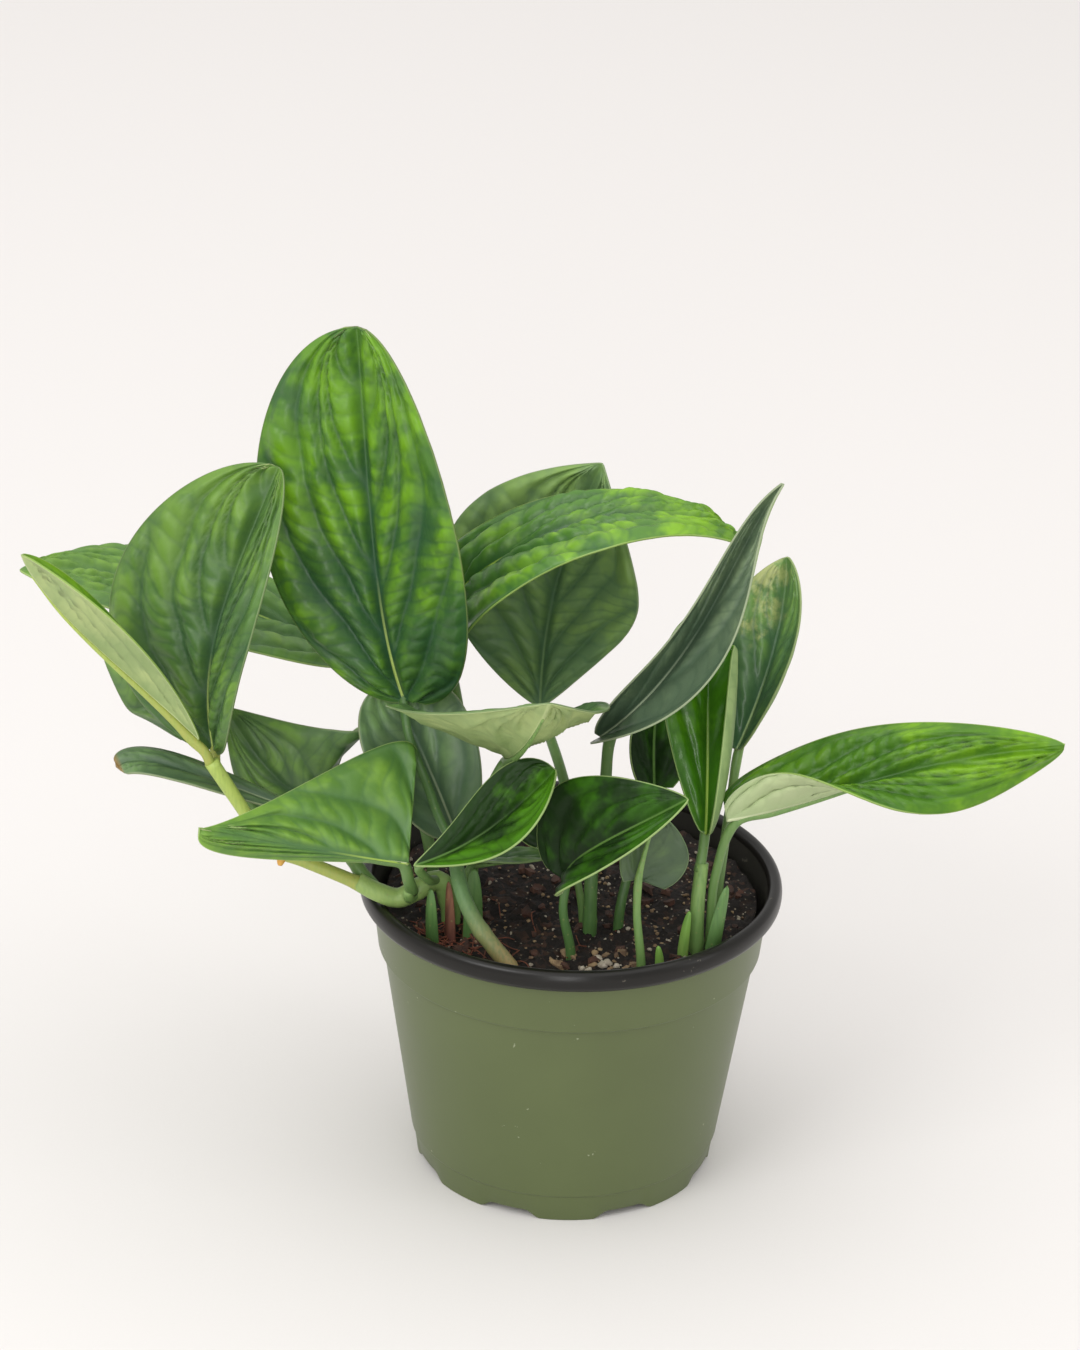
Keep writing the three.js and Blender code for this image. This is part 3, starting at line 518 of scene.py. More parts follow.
# Each tube: its look, its radii, where its nodes are, and its path.
SHOOTS = {
    "stem_left": [
        ("elbow", [3.2, 3.7, 3.8, 3.3], (0.35, 0.62),
         [(-43, -22, 92), (-44, -23, 114), (-48, -25, 123), (-55, -28, 121), (-62, -28, 117),
          (-70, -29, 120), (-77, -29, 124)]),
        ("pale", [2.6, 2.1, 2.7], (0.06, 0.5),
         [(-72, -29, 121), (-84, -30, 127), (-96, -30, 132), (-108, -30, 137), (-119, -26, 152),
          (-126, -25, 163), (-129, -25, 168)]),
        ("green", [2.6, 2.2, 2], (0.3,),
         [(-70, -28, 120), (-79, -23, 129), (-86, -17, 136), (-91, -11, 140)]),
        ("green", [2.4, 2], (), [(-55, -28, 121), (-58, -33, 120), (-58, -36, 125)]),
    ],
    "stem_middle": [
        ("scaly", [3.2, 2.9, 2.6], (0.2, 0.45),
         [(-21, -57, 92), (-21, -56, 104), (-27, -54, 112), (-33, -51, 119), (-38, -46, 127),
          (-41, -38, 135), (-41, -28, 140)]),
    ],
    "stem_centre": [
        ("deep", [2.6, 2.4, 2.4], (0.3, 0.8),
         [(7, -28, 92), (7, -28, 106), (7, -25, 128), (8, -18, 148)]),
    ],
    "stem_right": [
        ("green", [3, 2.6, 2.4], (0.35,),
         [(45, -39, 92), (45, -39, 106), (45, -38, 124), (46, -35, 138)]),
    ],
}


def make_shoot(name, tubes):
    bm = bmesh.new()
    bm.verts.layers.float.new("along")
    looks = sorted({look for look, _, _, _ in tubes})
    for look, radii, rings, path in tubes:
        def radius(u, radii=radii, rings=rings):
            swelling = sum(math.exp(-((u - ring) / NODE_SHARE) ** 2) for ring in rings)
            return between(radii, u) + NODE_RING_MM * swelling
        tube(bm, path, radius, material=looks.index(look))
    finish_piece(name + "_shoot", bm, [STEMS[look] for look in looks], "stem", name)


for shoot_name, shoot_tubes in SHOOTS.items():
    make_shoot(shoot_name, shoot_tubes)

# %% [markdown]
# Under the pale stem a new aerial root has just broken through. It is a short, blunt, orange
# knob, made as a stem that narrows to its end.

# %% Aerial root
ROOT_TIP = [(-103, -30, 135), (-104, -31.5, 132.5), (-104.3, -32.2, 131)]
ROOT_RADIUS_MM = 1.8
ROOT_TAPER = 0.85
root_mesh = bmesh.new()
root_mesh.verts.layers.float.new("along")
tube(root_mesh, ROOT_TIP, lambda u: ROOT_RADIUS_MM * math.sqrt(1 - ROOT_TAPER * u * u), sides=14,
     step_mm=0.6)
finish_piece("aerial_root_tip", root_mesh, [STEMS["orange"]], "stem")

# %% [markdown]
# ## The shape of a leaf
# One formula gives every blade. The midrib is a cubic curve, and the two halves leave it with a
# width of their own, rise by a fold and turn on by a curl. The rows of the grid sweep forward, as
# the veins do. Over that comes the relief: cells that bulge between sunken veins, which leave the
# midrib steeply and run forward almost beside it before they meet the margin.

# %% Leaf formula
VEIN_SWEEP, SWEEP_EASE = 0.32, 0.15
VEIN_OPEN = 1.2
VEIN_CLOSE = 0.52
VEIN_BEND = 0.75
OUTER_SLOPE = 0.45
HALVINGS = 12
LOBE_POWER = 6
CELL_MM = 8.0
CROSS_SLOPE = 0.35
CROSS_STAGGER = 1.3
VEIN_WOBBLE, CROSS_WOBBLE = 0.45, 0.8
WOBBLES_LONG, WOBBLES_WIDE = 4, 3
WOBBLE_SEED, LUMP_SEED = 0.7, 4.3
HALVES_APART = 0.3
BULGE_MM = 2.1
CELL_BULGE_MM = 0.8
LUMP_MM = 1.1
LUMP_LONG_MM, LUMP_WIDE_MM = 13, 9
CHANNEL_MM, CHANNEL_WIDTH_MM = 0.6, 1.3
CALM_RIB_MM, CALM_MARGIN_MM = 4, 5
BLADE_MM = 0.7


def rib_point(leaf, u):
    a, b, c, d = leaf["rib"]
    v = 1 - u
    return v ** 3 * a + 3 * v * v * u * b + 3 * v * u * u * c + u ** 3 * d


def rib_frame(leaf, u):
    """The ways along the midrib, up from the blade and across it."""
    a, b, c, d = leaf["rib"]
    v = 1 - u
    along = (v * v * (b - a) + 2 * v * u * (c - b) + u * u * (d - c)).normalized()
    up = leaf["face"][0].lerp(leaf["face"][1], u)
    up = (up - along * up.dot(along)).normalized()
    return along, up, along.cross(up)


def half_width(leaf, side, u):
    """Share of a half's full width at u: 0 at the base and the tip, 1 where it is widest."""
    blunt, drawn = leaf["shape"][side]
    widest = blunt / (blunt + drawn)
    u = min(max(u, 0.0), 1.0)
    return u ** blunt * (1 - u) ** drawn / (widest ** blunt * (1 - widest) ** drawn)


def vein_start(u, k):
    """Where on the midrib the lateral vein through u, k starts, found by halving. It is below 0
    outside the lowest vein."""
    lowest = VEIN_OPEN * u ** VEIN_BEND
    if k > lowest:
        return OUTER_SLOPE * (lowest - k)
    low, high = 0.0, u
    for _ in range(HALVINGS):
        w = (low + high) / 2
        opening = VEIN_CLOSE + (VEIN_OPEN - VEIN_CLOSE) * (1 - w) ** 4
        if opening * ((u - w) / (1 - w)) ** VEIN_BEND > k:
            low = w
        else:
            high = w
    return (low + high) / 2


def bulge(distance, power):
    """Height over a cell: 0 on its vein and 1 midway, steep near the vein."""
    return 1 - (1 - 2 * distance) ** power


def to_line(value):
    """Distance from a value to the nearest whole number, at most one half."""
    return abs(value - round(value))


def blade_point(leaf, t, s):
    """Place of the blade's upper skin at t along and s across, and what its attributes say."""
    k = abs(s)
    side = 0 if s < 0 else 1
    u = t + VEIN_SWEEP * k * (1 - t) * t / (t + SWEEP_EASE)
    along, up, across = rib_frame(leaf, u)
    spread = half_width(leaf, side, u)
    width = leaf["half"][side] * spread
    fold_base, fold_tip = leaf["fold"]
    start = math.radians(fold_base[side] + (fold_tip[side] - fold_base[side]) * u)
    turn = math.radians(leaf["curl"][side]) or 1e-3
    out = width * (math.sin(start + turn * k) - math.sin(start)) / turn
    rise = width * (math.cos(start) - math.cos(start + turn * k)) / turn
    hang = leaf["lobe"] * k * k * (1 - u) ** LOBE_POWER * math.sqrt(spread)

    rib_mm = width * k
    margin_mm = width * (1 - k)
    wobble = noise.noise(Vector((WOBBLES_LONG * u, WOBBLES_WIDE * s, leaf["veins"] + WOBBLE_SEED)))
    lump = noise.noise(Vector((leaf["length"] * u / LUMP_LONG_MM, out / LUMP_WIDE_MM + side,
                               leaf["veins"] + LUMP_SEED)))
    vein = leaf["veins"] * vein_start(u, k) + HALVES_APART * side + VEIN_WOBBLE * wobble * k
    cross = (leaf["length"] * u + CROSS_SLOPE * rib_mm) / CELL_MM
    cross += CROSS_STAGGER * vein + CROSS_WOBBLE * wobble
    # The relief dies away towards the midrib and the margin.
    calm = min(1.0, rib_mm / CALM_RIB_MM) * min(1.0, margin_mm / CALM_MARGIN_MM)
    calm = calm * calm * (3 - 2 * calm)
    to_vein, to_cross = to_line(vein), to_line(cross)
    relief = leaf["quilt"] * calm * (
        BULGE_MM * bulge(to_vein, 2.4) + LUMP_MM * lump
        + CELL_BULGE_MM * bulge(to_vein, 2) * bulge(to_cross, 2.2))
    relief -= CHANNEL_MM * math.exp(-(rib_mm / CHANNEL_WIDTH_MM) ** 2) * min(1.0, spread * 2)
    place = rib_point(leaf, u) + across * (out if side else -out) + along * -hang
    place += up * (rise + relief + BLADE_MM / 2)
    return place, (vein, cross, rib_mm, margin_mm, u, s)


print("cells of", CELL_MM, "mm bulge by", round(BULGE_MM + CELL_BULGE_MM, 1), "mm where quilt is 1")

# %% [markdown]
# ## The leaves
# Twenty-two leaves, from the tall one at the crown to the small ones low in the pot. Each entry
# gives the petiole's path from its foot, then the midrib's four points, the way the upper side
# looks at base and tip, the widths of the left and right half, and how they fold and curl.
# veins is the number of lateral veins, quilt is how strongly the cells bulge, and lobe is how far
# the base hangs back over the petiole, in mm. shape is how blunt the base and how drawn out the
# tip is, once for both halves or for each. A value that isn't given is the usual one.

# %% Leaf table
USUAL = dict(petiole=(2, 1.4), veins=4, quilt=0.6, lobe=5)
LEAVES = {
    "leaf_crown": dict(
        skins="mature under deep", petiole=(1.8, 1.6), veins=4.6, quilt=1.2,
        path=[(-42, -30, 140), (-47, -23, 145), (-53, -13, 156), (-60, -6, 172)],
        rib=[(-62, 2, 182), (-73, -2, 214), (-75, 8, 259), (-80, 13, 319)],
        face=[(-0.1, -1, 0.2), (-0.3, -0.9, 0.3)], half=(41, 44), fold=[(5, 15), (5, 25)],
        curl=(-5, 25), shape=(0.8, 0.5, 0.5, 0.45), lobe=8),
    "leaf_left": dict(
        skins="dull under pale", petiole=(1.8, 1.7), veins=4.3, quilt=1.2,
        path=[(-126, -24, 162), (-128, -19, 165)],
        rib=[(-129, -15, 168), (-134, -21, 202), (-127, -20, 224), (-106, -5, 273)],
        face=[(-0.35, -0.9, 0.3), (-0.3, -0.9, 0.3)], half=(42, 27), fold=[(0, 35), (5, 35)],
        curl=(0, 15), shape=(0.65, 0.55), lobe=4),
    "leaf_far_left": dict(
        skins="bright under pale", petiole=(1.8, 1.7), quilt=0.7,
        path=[(-129, -25, 166), (-131, -26, 172)],
        rib=[(-133, -26, 177), (-154, -27, 202), (-181, -30, 222), (-193, -30, 248)],
        face=[(0.7, -0.1, 0.7), (0.7, -0.2, 0.7)], half=(21, 12), fold=[(60, 30), (55, 30)],
        curl=(5, 10), shape=(1.1, 0.7)),
    "leaf_left_level": dict(
        skins="velvety under green", petiole=(2.4, 1.9), veins=5, quilt=1.0,
        path=[(-50, 10, 92), (-52, 14, 114), (-62, 26, 145), (-78, 37, 173)],
        rib=[(-84, 41, 181), (-130, 36, 207), (-170, 29, 221), (-201, 19, 221)],
        face=[(0, -0.2, 1), (0, -0.3, 1)], half=(38, 32), fold=[(10, 15), (5, -10)],
        curl=(10, -30), shape=(0.55, 0.8)),
    "leaf_left_small": dict(
        skins="deep under_green pale", petiole=(1.4, 1.2), veins=3,
        path=[(-122, -25, 157), (-130, -10, 161)],
        rib=[(-137, 6, 160), (-137, 3, 181), (-149, 3, 195), (-171, 5, 204)],
        face=[(-0.2, -0.9, 0.2), (-0.2, -0.9, 0.3)], half=(20, 12), fold=[(0, 10), (5, 10)],
        curl=(-5, 10), shape=(0.55, 0.65), lobe=2),
    "leaf_centre_back": dict(
        skins="hazy under_green green", petiole=(2, 1.9), veins=4.4, quilt=1.0,
        path=[(6, -21, 141), (0, -14, 148), (-6, 4, 158)],
        rib=[(-13, 29, 168), (-13, 43, 198), (-6, 45, 226), (7, 42, 259)],
        face=[(0, -1, 0.2), (-0.1, -0.9, 0.3)], half=(43, 37), fold=[(5, 15), (5, 25)],
        curl=(5, 25), shape=(1.1, 0.95), lobe=8),
    "leaf_arching": dict(
        skins="arched under green", petiole=(2.4, 1.9), veins=5, quilt=1.3,
        path=[(-36, 10, 92), (-37, 12, 118), (-42, 20, 165), (-47, 19, 200)],
        rib=[(-47, 18, 213), (-22, 8, 251), (34, 9, 263), (57, 6, 244)],
        face=[(0.5, -0.3, 0.8), (0.4, 0, 0.9)], half=(20, 31), fold=[(5, 5), (5, 5)], curl=(5, 10),
        shape=(0.3, 0.8, 0.35, 0.6), lobe=13),
    "leaf_cupped": dict(
        skins="deep under green", petiole=(2.4, 1.9), quilt=0.8,
        path=[(-39, -30, 139), (-34, -25, 148), (-29, -18, 159)],
        rib=[(-25, -13, 168), (-24, -38, 178), (-17, -61, 192), (-10, -79.8, 220)],
        face=[(-0.1, 0.5, 0.9), (-0.1, 0.4, 0.9)], half=(38, 48), fold=[(27, 24), (0, 6)],
        curl=(15, 15), shape=(0.5, 0.85), lobe=6),
    "leaf_long": dict(
        skins="dusty under_green green", petiole=(2.4, 1.9), veins=3.6, quilt=0.7,
        path=[(9, -18, 146), (11, -13, 157)],
        rib=[(9, -9, 174), (45, -29, 214), (51, -33, 259), (67, -46, 288)],
        face=[(0.3, -0.5, 0.8), (0.1, -0.6, 0.8)], half=(13, 29), fold=[(40, 30), (40, 25)],
        curl=(55, 60), shape=(0.6, 1, 0.6, 1.1)),
    "leaf_back_right": dict(
        skins="cream under_green green", petiole=(2, 1.6), quilt=0.7,
        path=[(52, -20, 92), (53, -18, 118), (56, -12, 147)],
        rib=[(58, -6, 169), (69, 8, 191), (75, 16, 212), (74, 21, 233)],
        face=[(-0.3, -0.9, 0.4), (-0.2, -0.9, 0.4)], half=(22, 22), fold=[(10, 40), (10, 30)],
        curl=(5, 55), shape=(0.55, 0.65), lobe=4),
    "leaf_glossy": dict(
        skins="glossy under_green green", petiole=(2, 1.6), quilt=0.4,
        path=[(45, -36, 135), (46, -34, 141)],
        rib=[(47, -31, 147), (48, -12, 194), (42, -3, 216), (55, -1, 210)],
        face=[(0, -1, 0.2), (0.2, -0.9, 0.3)], half=(18, 24), fold=[(5, 20), (5, 10)],
        curl=(15, 125), shape=(0.75, 0.65, 0.6, 0.95), lobe=4),
    "leaf_far_right": dict(
        skins="bright under_pale green", petiole=(1.8, 1.6), veins=5, quilt=1.4,
        path=[(50, -36, 92), (50, -36, 112), (51, -36, 134)],
        rib=[(54, -37, 156), (101, -37, 169), (110, -40, 182), (169.8, -43, 192)],
        face=[(0.2, -0.35, 0.9), (0.4, -0.85, 0.5)], half=(21, 20), fold=[(5, 138), (0, -55)],
        curl=(0, 10), shape=(0.3, 0.7, 0.45, 0.45), lobe=3),
    "leaf_front_small": dict(
        skins="dark under deep",
        path=[(1, -45, 92), (0, -46, 108), (-3, -46, 124)],
        rib=[(-3, -46, 136), (-2, -50, 147), (12, -58, 158), (39, -61, 176)],
        face=[(-0.1, -0.5, 0.9), (0, -0.6, 0.8)], half=(26, 19), fold=[(15, 25), (15, 20)],
        curl=(20, 15), shape=(0.6, 0.8), lobe=1),
    "leaf_dark_front": dict(
        skins="two_toned under green",
        path=[(-49, -27, 124), (-51, -38, 130)],
        rib=[(-56, -49, 141), (-33, -50, 150), (-20, -49, 165), (-7, -47, 179)],
        face=[(-0.3, -0.7, 0.6), (-0.4, -0.7, 0.6)], half=(14, 23), fold=[(15, 25), (15, 30)],
        curl=(10, 25), shape=(1, 0.45, 1.4, 0.7)),
    "leaf_big_front": dict(
        skins="velvety under green", petiole=(2.4, 1.9), veins=4.6, quilt=0.9,
        path=[(-57, -34, 123), (-58, -41, 131)],
        rib=[(-58, -46, 140), (-78, -51, 145), (-106, -63, 157), (-129, -71, 165)],
        face=[(0.1, -0.9, 0.45), (0, -0.9, 0.5)], half=(8, 46), fold=[(-75, -20), (-10, -50)],
        curl=(0, 5), shape=(0.9, 0.25, 0.1, 1.2), lobe=3),
    "leaf_middle": dict(
        skins="greyish under_green green", quilt=0.5,
        path=[(-41, -32, 136), (-42, -21, 133)],
        rib=[(-43, -11, 137), (-55, -1, 164), (-64, 7, 178), (-67, 15, 181)],
        face=[(0.1, -0.9, 0.3), (0.1, -0.9, 0.4)], half=(24, 22), fold=[(20, 15), (20, 15)],
        curl=(30, 15), shape=(0.6, 0.75), lobe=10),
    "leaf_left_low": dict(
        skins="deep under_green green",
        path=[(-90, -12, 139), (-92, -1, 140)],
        rib=[(-90, 9, 138), (-97, -3, 139), (-111, -3, 150), (-127, 14, 171)],
        face=[(0, -1, 0.2), (0, -0.9, 0.4)], half=(19, 36), fold=[(10, 10), (10, 15)],
        curl=(10, 15), shape=(0.35, 0.9), lobe=12),
    "leaf_twisted": dict(
        skins="scorched under_green green", veins=3,
        path=[(-88, -14, 138), (-96, -16, 141)],
        rib=[(-103, -15, 146), (-138, -12, 158), (-157, -9, 164), (-164, -12, 159)],
        face=[(0.4, -0.4, 0.8), (0.3, -0.3, 0.9)], half=(12, 8), fold=[(20, -5), (15, 0)],
        curl=(15, -10), shape=(0.5, 0.35)),
    "leaf_round_small": dict(
        skins="deep under_dark green", petiole=(1.8, 1.3), veins=3,
        path=[(26, -56, 92), (25, -55, 109), (23, -53, 127)],
        rib=[(23, -50, 139), (24, -48, 145), (26, -45, 152), (29, -41, 160)],
        face=[(0, 1, 0.1), (0, 1, 0.2)], half=(17, 8), fold=[(5, 5), (5, 5)], curl=(10, 10),
        shape=(0.4, 0.5), lobe=7),
    "leaf_dark_right": dict(
        skins="dark under_green deep", veins=3,
        path=[(17, -24, 92), (18, -23, 114), (24, -14, 138)],
        rib=[(29, -6, 153), (28, -1, 168), (28, 2, 178), (30, 4, 181)],
        face=[(0.1, -1, 0.3), (0.1, -1, 0.3)], half=(11, 13), fold=[(20, 10), (20, 10)],
        curl=(25, 5), shape=(0.5, 0.8)),
    "leaf_low": dict(
        skins="deep under_green green", petiole=(1.6, 1.2), veins=3,
        path=[(-36, -20, 92), (-38, -20, 114)],
        rib=[(-37, -18, 127), (-29, -12, 125), (-18, -9, 125), (-2, -9, 127)],
        face=[(-0.1, 0, 1), (-0.1, -0.1, 1)], half=(13, 12), fold=[(0, 15), (-5, 10)],
        curl=(-20, 15), shape=(0.5, 0.85)),
    "leaf_inner": dict(
        skins="dark under_green green", petiole=(1.6, 1.2), veins=3,
        path=[(5, -18, 92), (4, -18, 110), (0, -15, 125)],
        rib=[(-9, -10, 133), (-13, -7, 141), (-18, -5, 149), (-23, -2, 157)],
        face=[(0, -1, 0.3), (0, -1, 0.3)], half=(10, 10), fold=[(5, 5), (5, 5)], curl=(5, 5),
        shape=(0.5, 0.85)),
}
for leaf_name, own in LEAVES.items():
    leaf = LEAVES[leaf_name] = {**USUAL, **own}
    leaf["shape"] = leaf["shape"][:2], leaf["shape"][-2:]
    leaf["rib"] = [Vector(p) for p in leaf["rib"]]
    leaf["face"] = [Vector(p) for p in leaf["face"]]
    leaf["length"] = path_length([rib_point(leaf, i / 20) for i in range(21)])
print(len(LEAVES), "leaves")

# %% [markdown]
# ## Growing a leaf
# The upper skin is laid as a grid. bmesh's solidify doubles it into a second skin, split the same
# way, which is then let down by 0.7 mm. The lower skin gets the underside's material. The petiole
# then runs on under the blade as the raised midrib, tapering to nothing, as on the real leaf.
# Just below the blade it is a little swollen: that is the joint by which the leaf turns.

# %% Grow the leaves
ROW_MM = 1.0
COLUMN_MM = 1.35
SEED_MM = 0.001
RIB_REACH = 0.9
RIB_END_MM = 0.4
RIB_SINK_MM = 0.55
KNEE_SWELLING, KNEE_MM, KNEE_PLACE = 0.14, 5, 0.94
GROOVE = 0.12
COLUMN_CROWDING = 1.2
UPPER, UNDER, PETIOLE = 0, 1, 2


def grow_blade(bm, leaf):
    down = bm.verts.layers.float_vector.new("down")
    layers = [bm.verts.layers.float[name] for name in ATTRIBUTES]
    rows = round(leaf["length"] / ROW_MM)
    columns = 2 * round(max(leaf["half"]) / COLUMN_MM)

    def shape(a, b, vert):
        # Rows crowd towards base and tip, columns towards the midrib.
        t = (b + b * b * (3 - 2 * b)) / 2 if 0 < b < 1 else b
        s = math.copysign(abs(2 * a - 1) ** COLUMN_CROWDING, 2 * a - 1)
        place, values = blade_point(leaf, t, s)
        for layer, value in zip(layers, values):
            vert[layer] = value
        return place

    upper = skin(bm, columns, rows, shape, UPPER)
    bm.normal_update()
    top, known = set(bm.verts), set(upper)
    for vert in top:
        vert[down] = vert.normal * -BLADE_MM
    bmesh.ops.solidify(bm, geom=upper, thickness=SEED_MM)
    for face in bm.faces:
        if face not in known:
            face.material_index = UPPER if any(vert in top for vert in face.verts) else UNDER
            face.smooth = True
    for vert in bm.verts:
        if vert not in top:
            vert.co += vert[down]
    bm.verts.layers.float_vector.remove(down)
    bmesh.ops.recalc_face_normals(bm, faces=bm.faces)


def grow_petiole(bm, leaf):
    foot, top = leaf["petiole"]
    under = []
    reach = [0.02, 0.12, 0.25, 0.4, 0.55, 0.72, RIB_REACH]
    for i, u in enumerate(reach):
        radius = top + (RIB_END_MM - top) * i / (len(reach) - 1)
        under.append(rib_point(leaf, u) - rib_frame(leaf, u)[1] * (RIB_SINK_MM + radius))
    points = [Vector(p) for p in leaf["path"]] + under
    whole = path_length(points)
    share = path_length(points[:len(leaf["path"]) + 1]) / whole

    def radius(u):
        knee = 1 + KNEE_SWELLING * math.exp(-((u - share * KNEE_PLACE) * whole / KNEE_MM) ** 2)
        if u < share:
            return (foot + (top - foot) * u / share) * knee
        return (top + (RIB_END_MM - top) * ((u - share) / (1 - share)) ** 0.8) * knee

    tube(bm, points, radius, sides=14, step_mm=2.0, material=PETIOLE, groove=GROOVE)


for leaf_name, leaf in LEAVES.items():
    bm = bmesh.new()
    for attribute in ATTRIBUTES:
        bm.verts.layers.float.new(attribute)
    grow_blade(bm, leaf)
    grow_petiole(bm, leaf)
    upper_skin, under_skin, stem_look = leaf["skins"].split()
    finish_piece(leaf_name + "_grown", bm,
                 [SKINS[upper_skin], SKINS[under_skin], STEMS[stem_look]], "leaf", leaf_name)

# %% [markdown]
# ## Sheaths and buds
# Where a leaf starts, the stem first makes a sheath: a flat, pointed scale with a keel. The green
# ones are still closed round the next leaf, the brown one has dried to paper. Each is a flattened
# tube that runs to a point and bends a little at its tip.

# %% Sheaths
SHEATH_MM = 2.0
KEEL = 0.35
SHEATH_SIDES, SHEATH_ROWS = 24, 22
# Each sheath: its look, half its width, which way it faces, and its path.
SHEATHS = {
    "sheath_right": ("deep", 3, 20, [(50, -43, 98), (51, -44, 116), (55, -42, 133)]),
    "sheath_yellow": ("young", 2, -10, [(40, -44, 98), (40, -44, 112), (42, -43, 123)]),
    "sheath_dry": ("papery", 2.2, -30, [(-43, -34, 98), (-43, -34, 113), (-44, -33, 127)]),
    "sheath_left": ("deep", 3, -40, [(-49, -36, 98), (-50, -37, 114), (-50, -37, 126)]),
    "sheath_middle": ("deep", 3.6, 0, [(-35, -34, 98), (-35, -33, 116), (-35, -32, 132)]),
    "bud_front": ("young", 1.8, 10, [(32, -53, 98), (32, -53, 107), (31, -53, 114)]),
}


def make_sheath(name, look, broad, facing, path):
    bm = bmesh.new()
    along = bm.verts.layers.float.new("along")
    foot, middle, tip = (Vector(p) for p in path)
    angle = math.radians(facing)
    side = Vector((math.cos(angle), math.sin(angle), 0))
    front = Vector((math.sin(angle), -math.cos(angle), 0))

    def shape(a, b, vert):
        v = 1 - b
        centre = v * v * foot + 2 * v * b * middle + b * b * tip
        taper = math.sqrt(1 - b ** 3)
        turn = 2 * math.pi * a
        keel = 1 + KEEL * max(0.0, math.sin(turn)) ** 8
        vert[along] = b
        return centre + taper * (side * broad * math.cos(turn)
                                 + front * (SHEATH_MM / 2 * keel * math.sin(turn)))

    close_ends(bm, skin(bm, SHEATH_SIDES, SHEATH_ROWS, shape), SHEATH_SIDES)
    finish_piece(name + "_scale", bm, [STEMS[look]], "sheath", name)


for sheath_name, sheath in SHEATHS.items():
    make_sheath(sheath_name, *sheath)

# %% [markdown]
# ## The pot
# A nursery pot of this kind is thin moulded polypropylene: green outside, black inside and over
# the rolled rim. Its section is turned round the axis with spin. The corners of the section are
# rounded first, by a vertex bevel on the open line, so the rim rolls softly. The wavy notches in
# the foot ring, through which water runs out, come from lifting the foot's points in turn.

# %% Pot section and spin
POT_HEIGHT, RIM_RADIUS, RIM_DEPTH = 115, 77.5, 8
BAND_BOTTOM, BAND_RADIUS, BODY_TOP_RADIUS = 87.5, 71, 68.6
FOOT_RADIUS, FOOT_LINE, WALL, FLOOR_UNDERSIDE = 55.5, 11.5, 1.6, 6
NOTCHES, NOTCH_START, NOTCH_WIDTH, NOTCH_HEIGHT = 8, 24, 19, 3
NOTCH_SLOPE = 6
DRAIN_HOLES, DRAIN_RADIUS, DRAIN_CIRCLE = 4, 5, 32
POT_STEPS = 240
OUTSIDE, RIM, INSIDE = 0, 1, 2
RIM_INNER_RADIUS = RIM_RADIUS - 5.6
rim_bottom = POT_HEIGHT - RIM_DEPTH
POT_SECTION = [
    (0, FLOOR_UNDERSIDE, 0), (FOOT_RADIUS - 2.5 * WALL, FLOOR_UNDERSIDE, 0.5),
    (FOOT_RADIUS - 2 * WALL, 0, 0.4), (FOOT_RADIUS - 0.4, 0, 0.4),
    (FOOT_RADIUS + 1.05, FOOT_LINE - 0.9, 0.2), (FOOT_RADIUS + 1.85, FOOT_LINE, 0.3),
    (BODY_TOP_RADIUS, BAND_BOTTOM - 1, 0.4), (BAND_RADIUS - 0.6, BAND_BOTTOM, 0.4),
    (BAND_RADIUS + 1.6, rim_bottom, 0.6), (RIM_RADIUS - 1.6, rim_bottom, 0.5),
    (RIM_RADIUS - 0.3, rim_bottom + 1.6, 0.8), (RIM_RADIUS, POT_HEIGHT - 3.6, 1.2),
    (RIM_RADIUS - 0.9, POT_HEIGHT - 1, 0.9), (RIM_RADIUS - 2.8, POT_HEIGHT, 0.9),
    (RIM_RADIUS - 4.6, POT_HEIGHT - 0.8, 0.8), (RIM_RADIUS - 5.4, POT_HEIGHT - 3, 0.8),
    (BAND_RADIUS + 1 - WALL, BAND_BOTTOM + 1, 0.5),
    (BODY_TOP_RADIUS - WALL, BAND_BOTTOM - 2, 0.5),
    (FOOT_RADIUS + 1.5 - WALL, FLOOR_UNDERSIDE + WALL + 2, 1.0),
    (FOOT_RADIUS - 1 - WALL, FLOOR_UNDERSIDE + WALL, 0.6), (0, FLOOR_UNDERSIDE + WALL, 0),
]


def notch_lift(x, y):
    """How far the foot is lifted at this place round the pot, in mm."""
    turn_deg = math.degrees(math.atan2(x, -y)) - NOTCH_START
    pitch_deg = 360 / NOTCHES
    off = abs((turn_deg + pitch_deg / 2) % pitch_deg - pitch_deg / 2)
    share = min(max((NOTCH_WIDTH / 2 + NOTCH_SLOPE / 2 - off) / NOTCH_SLOPE, 0.0), 1.0)
    return NOTCH_HEIGHT * share * share * (3 - 2 * share)


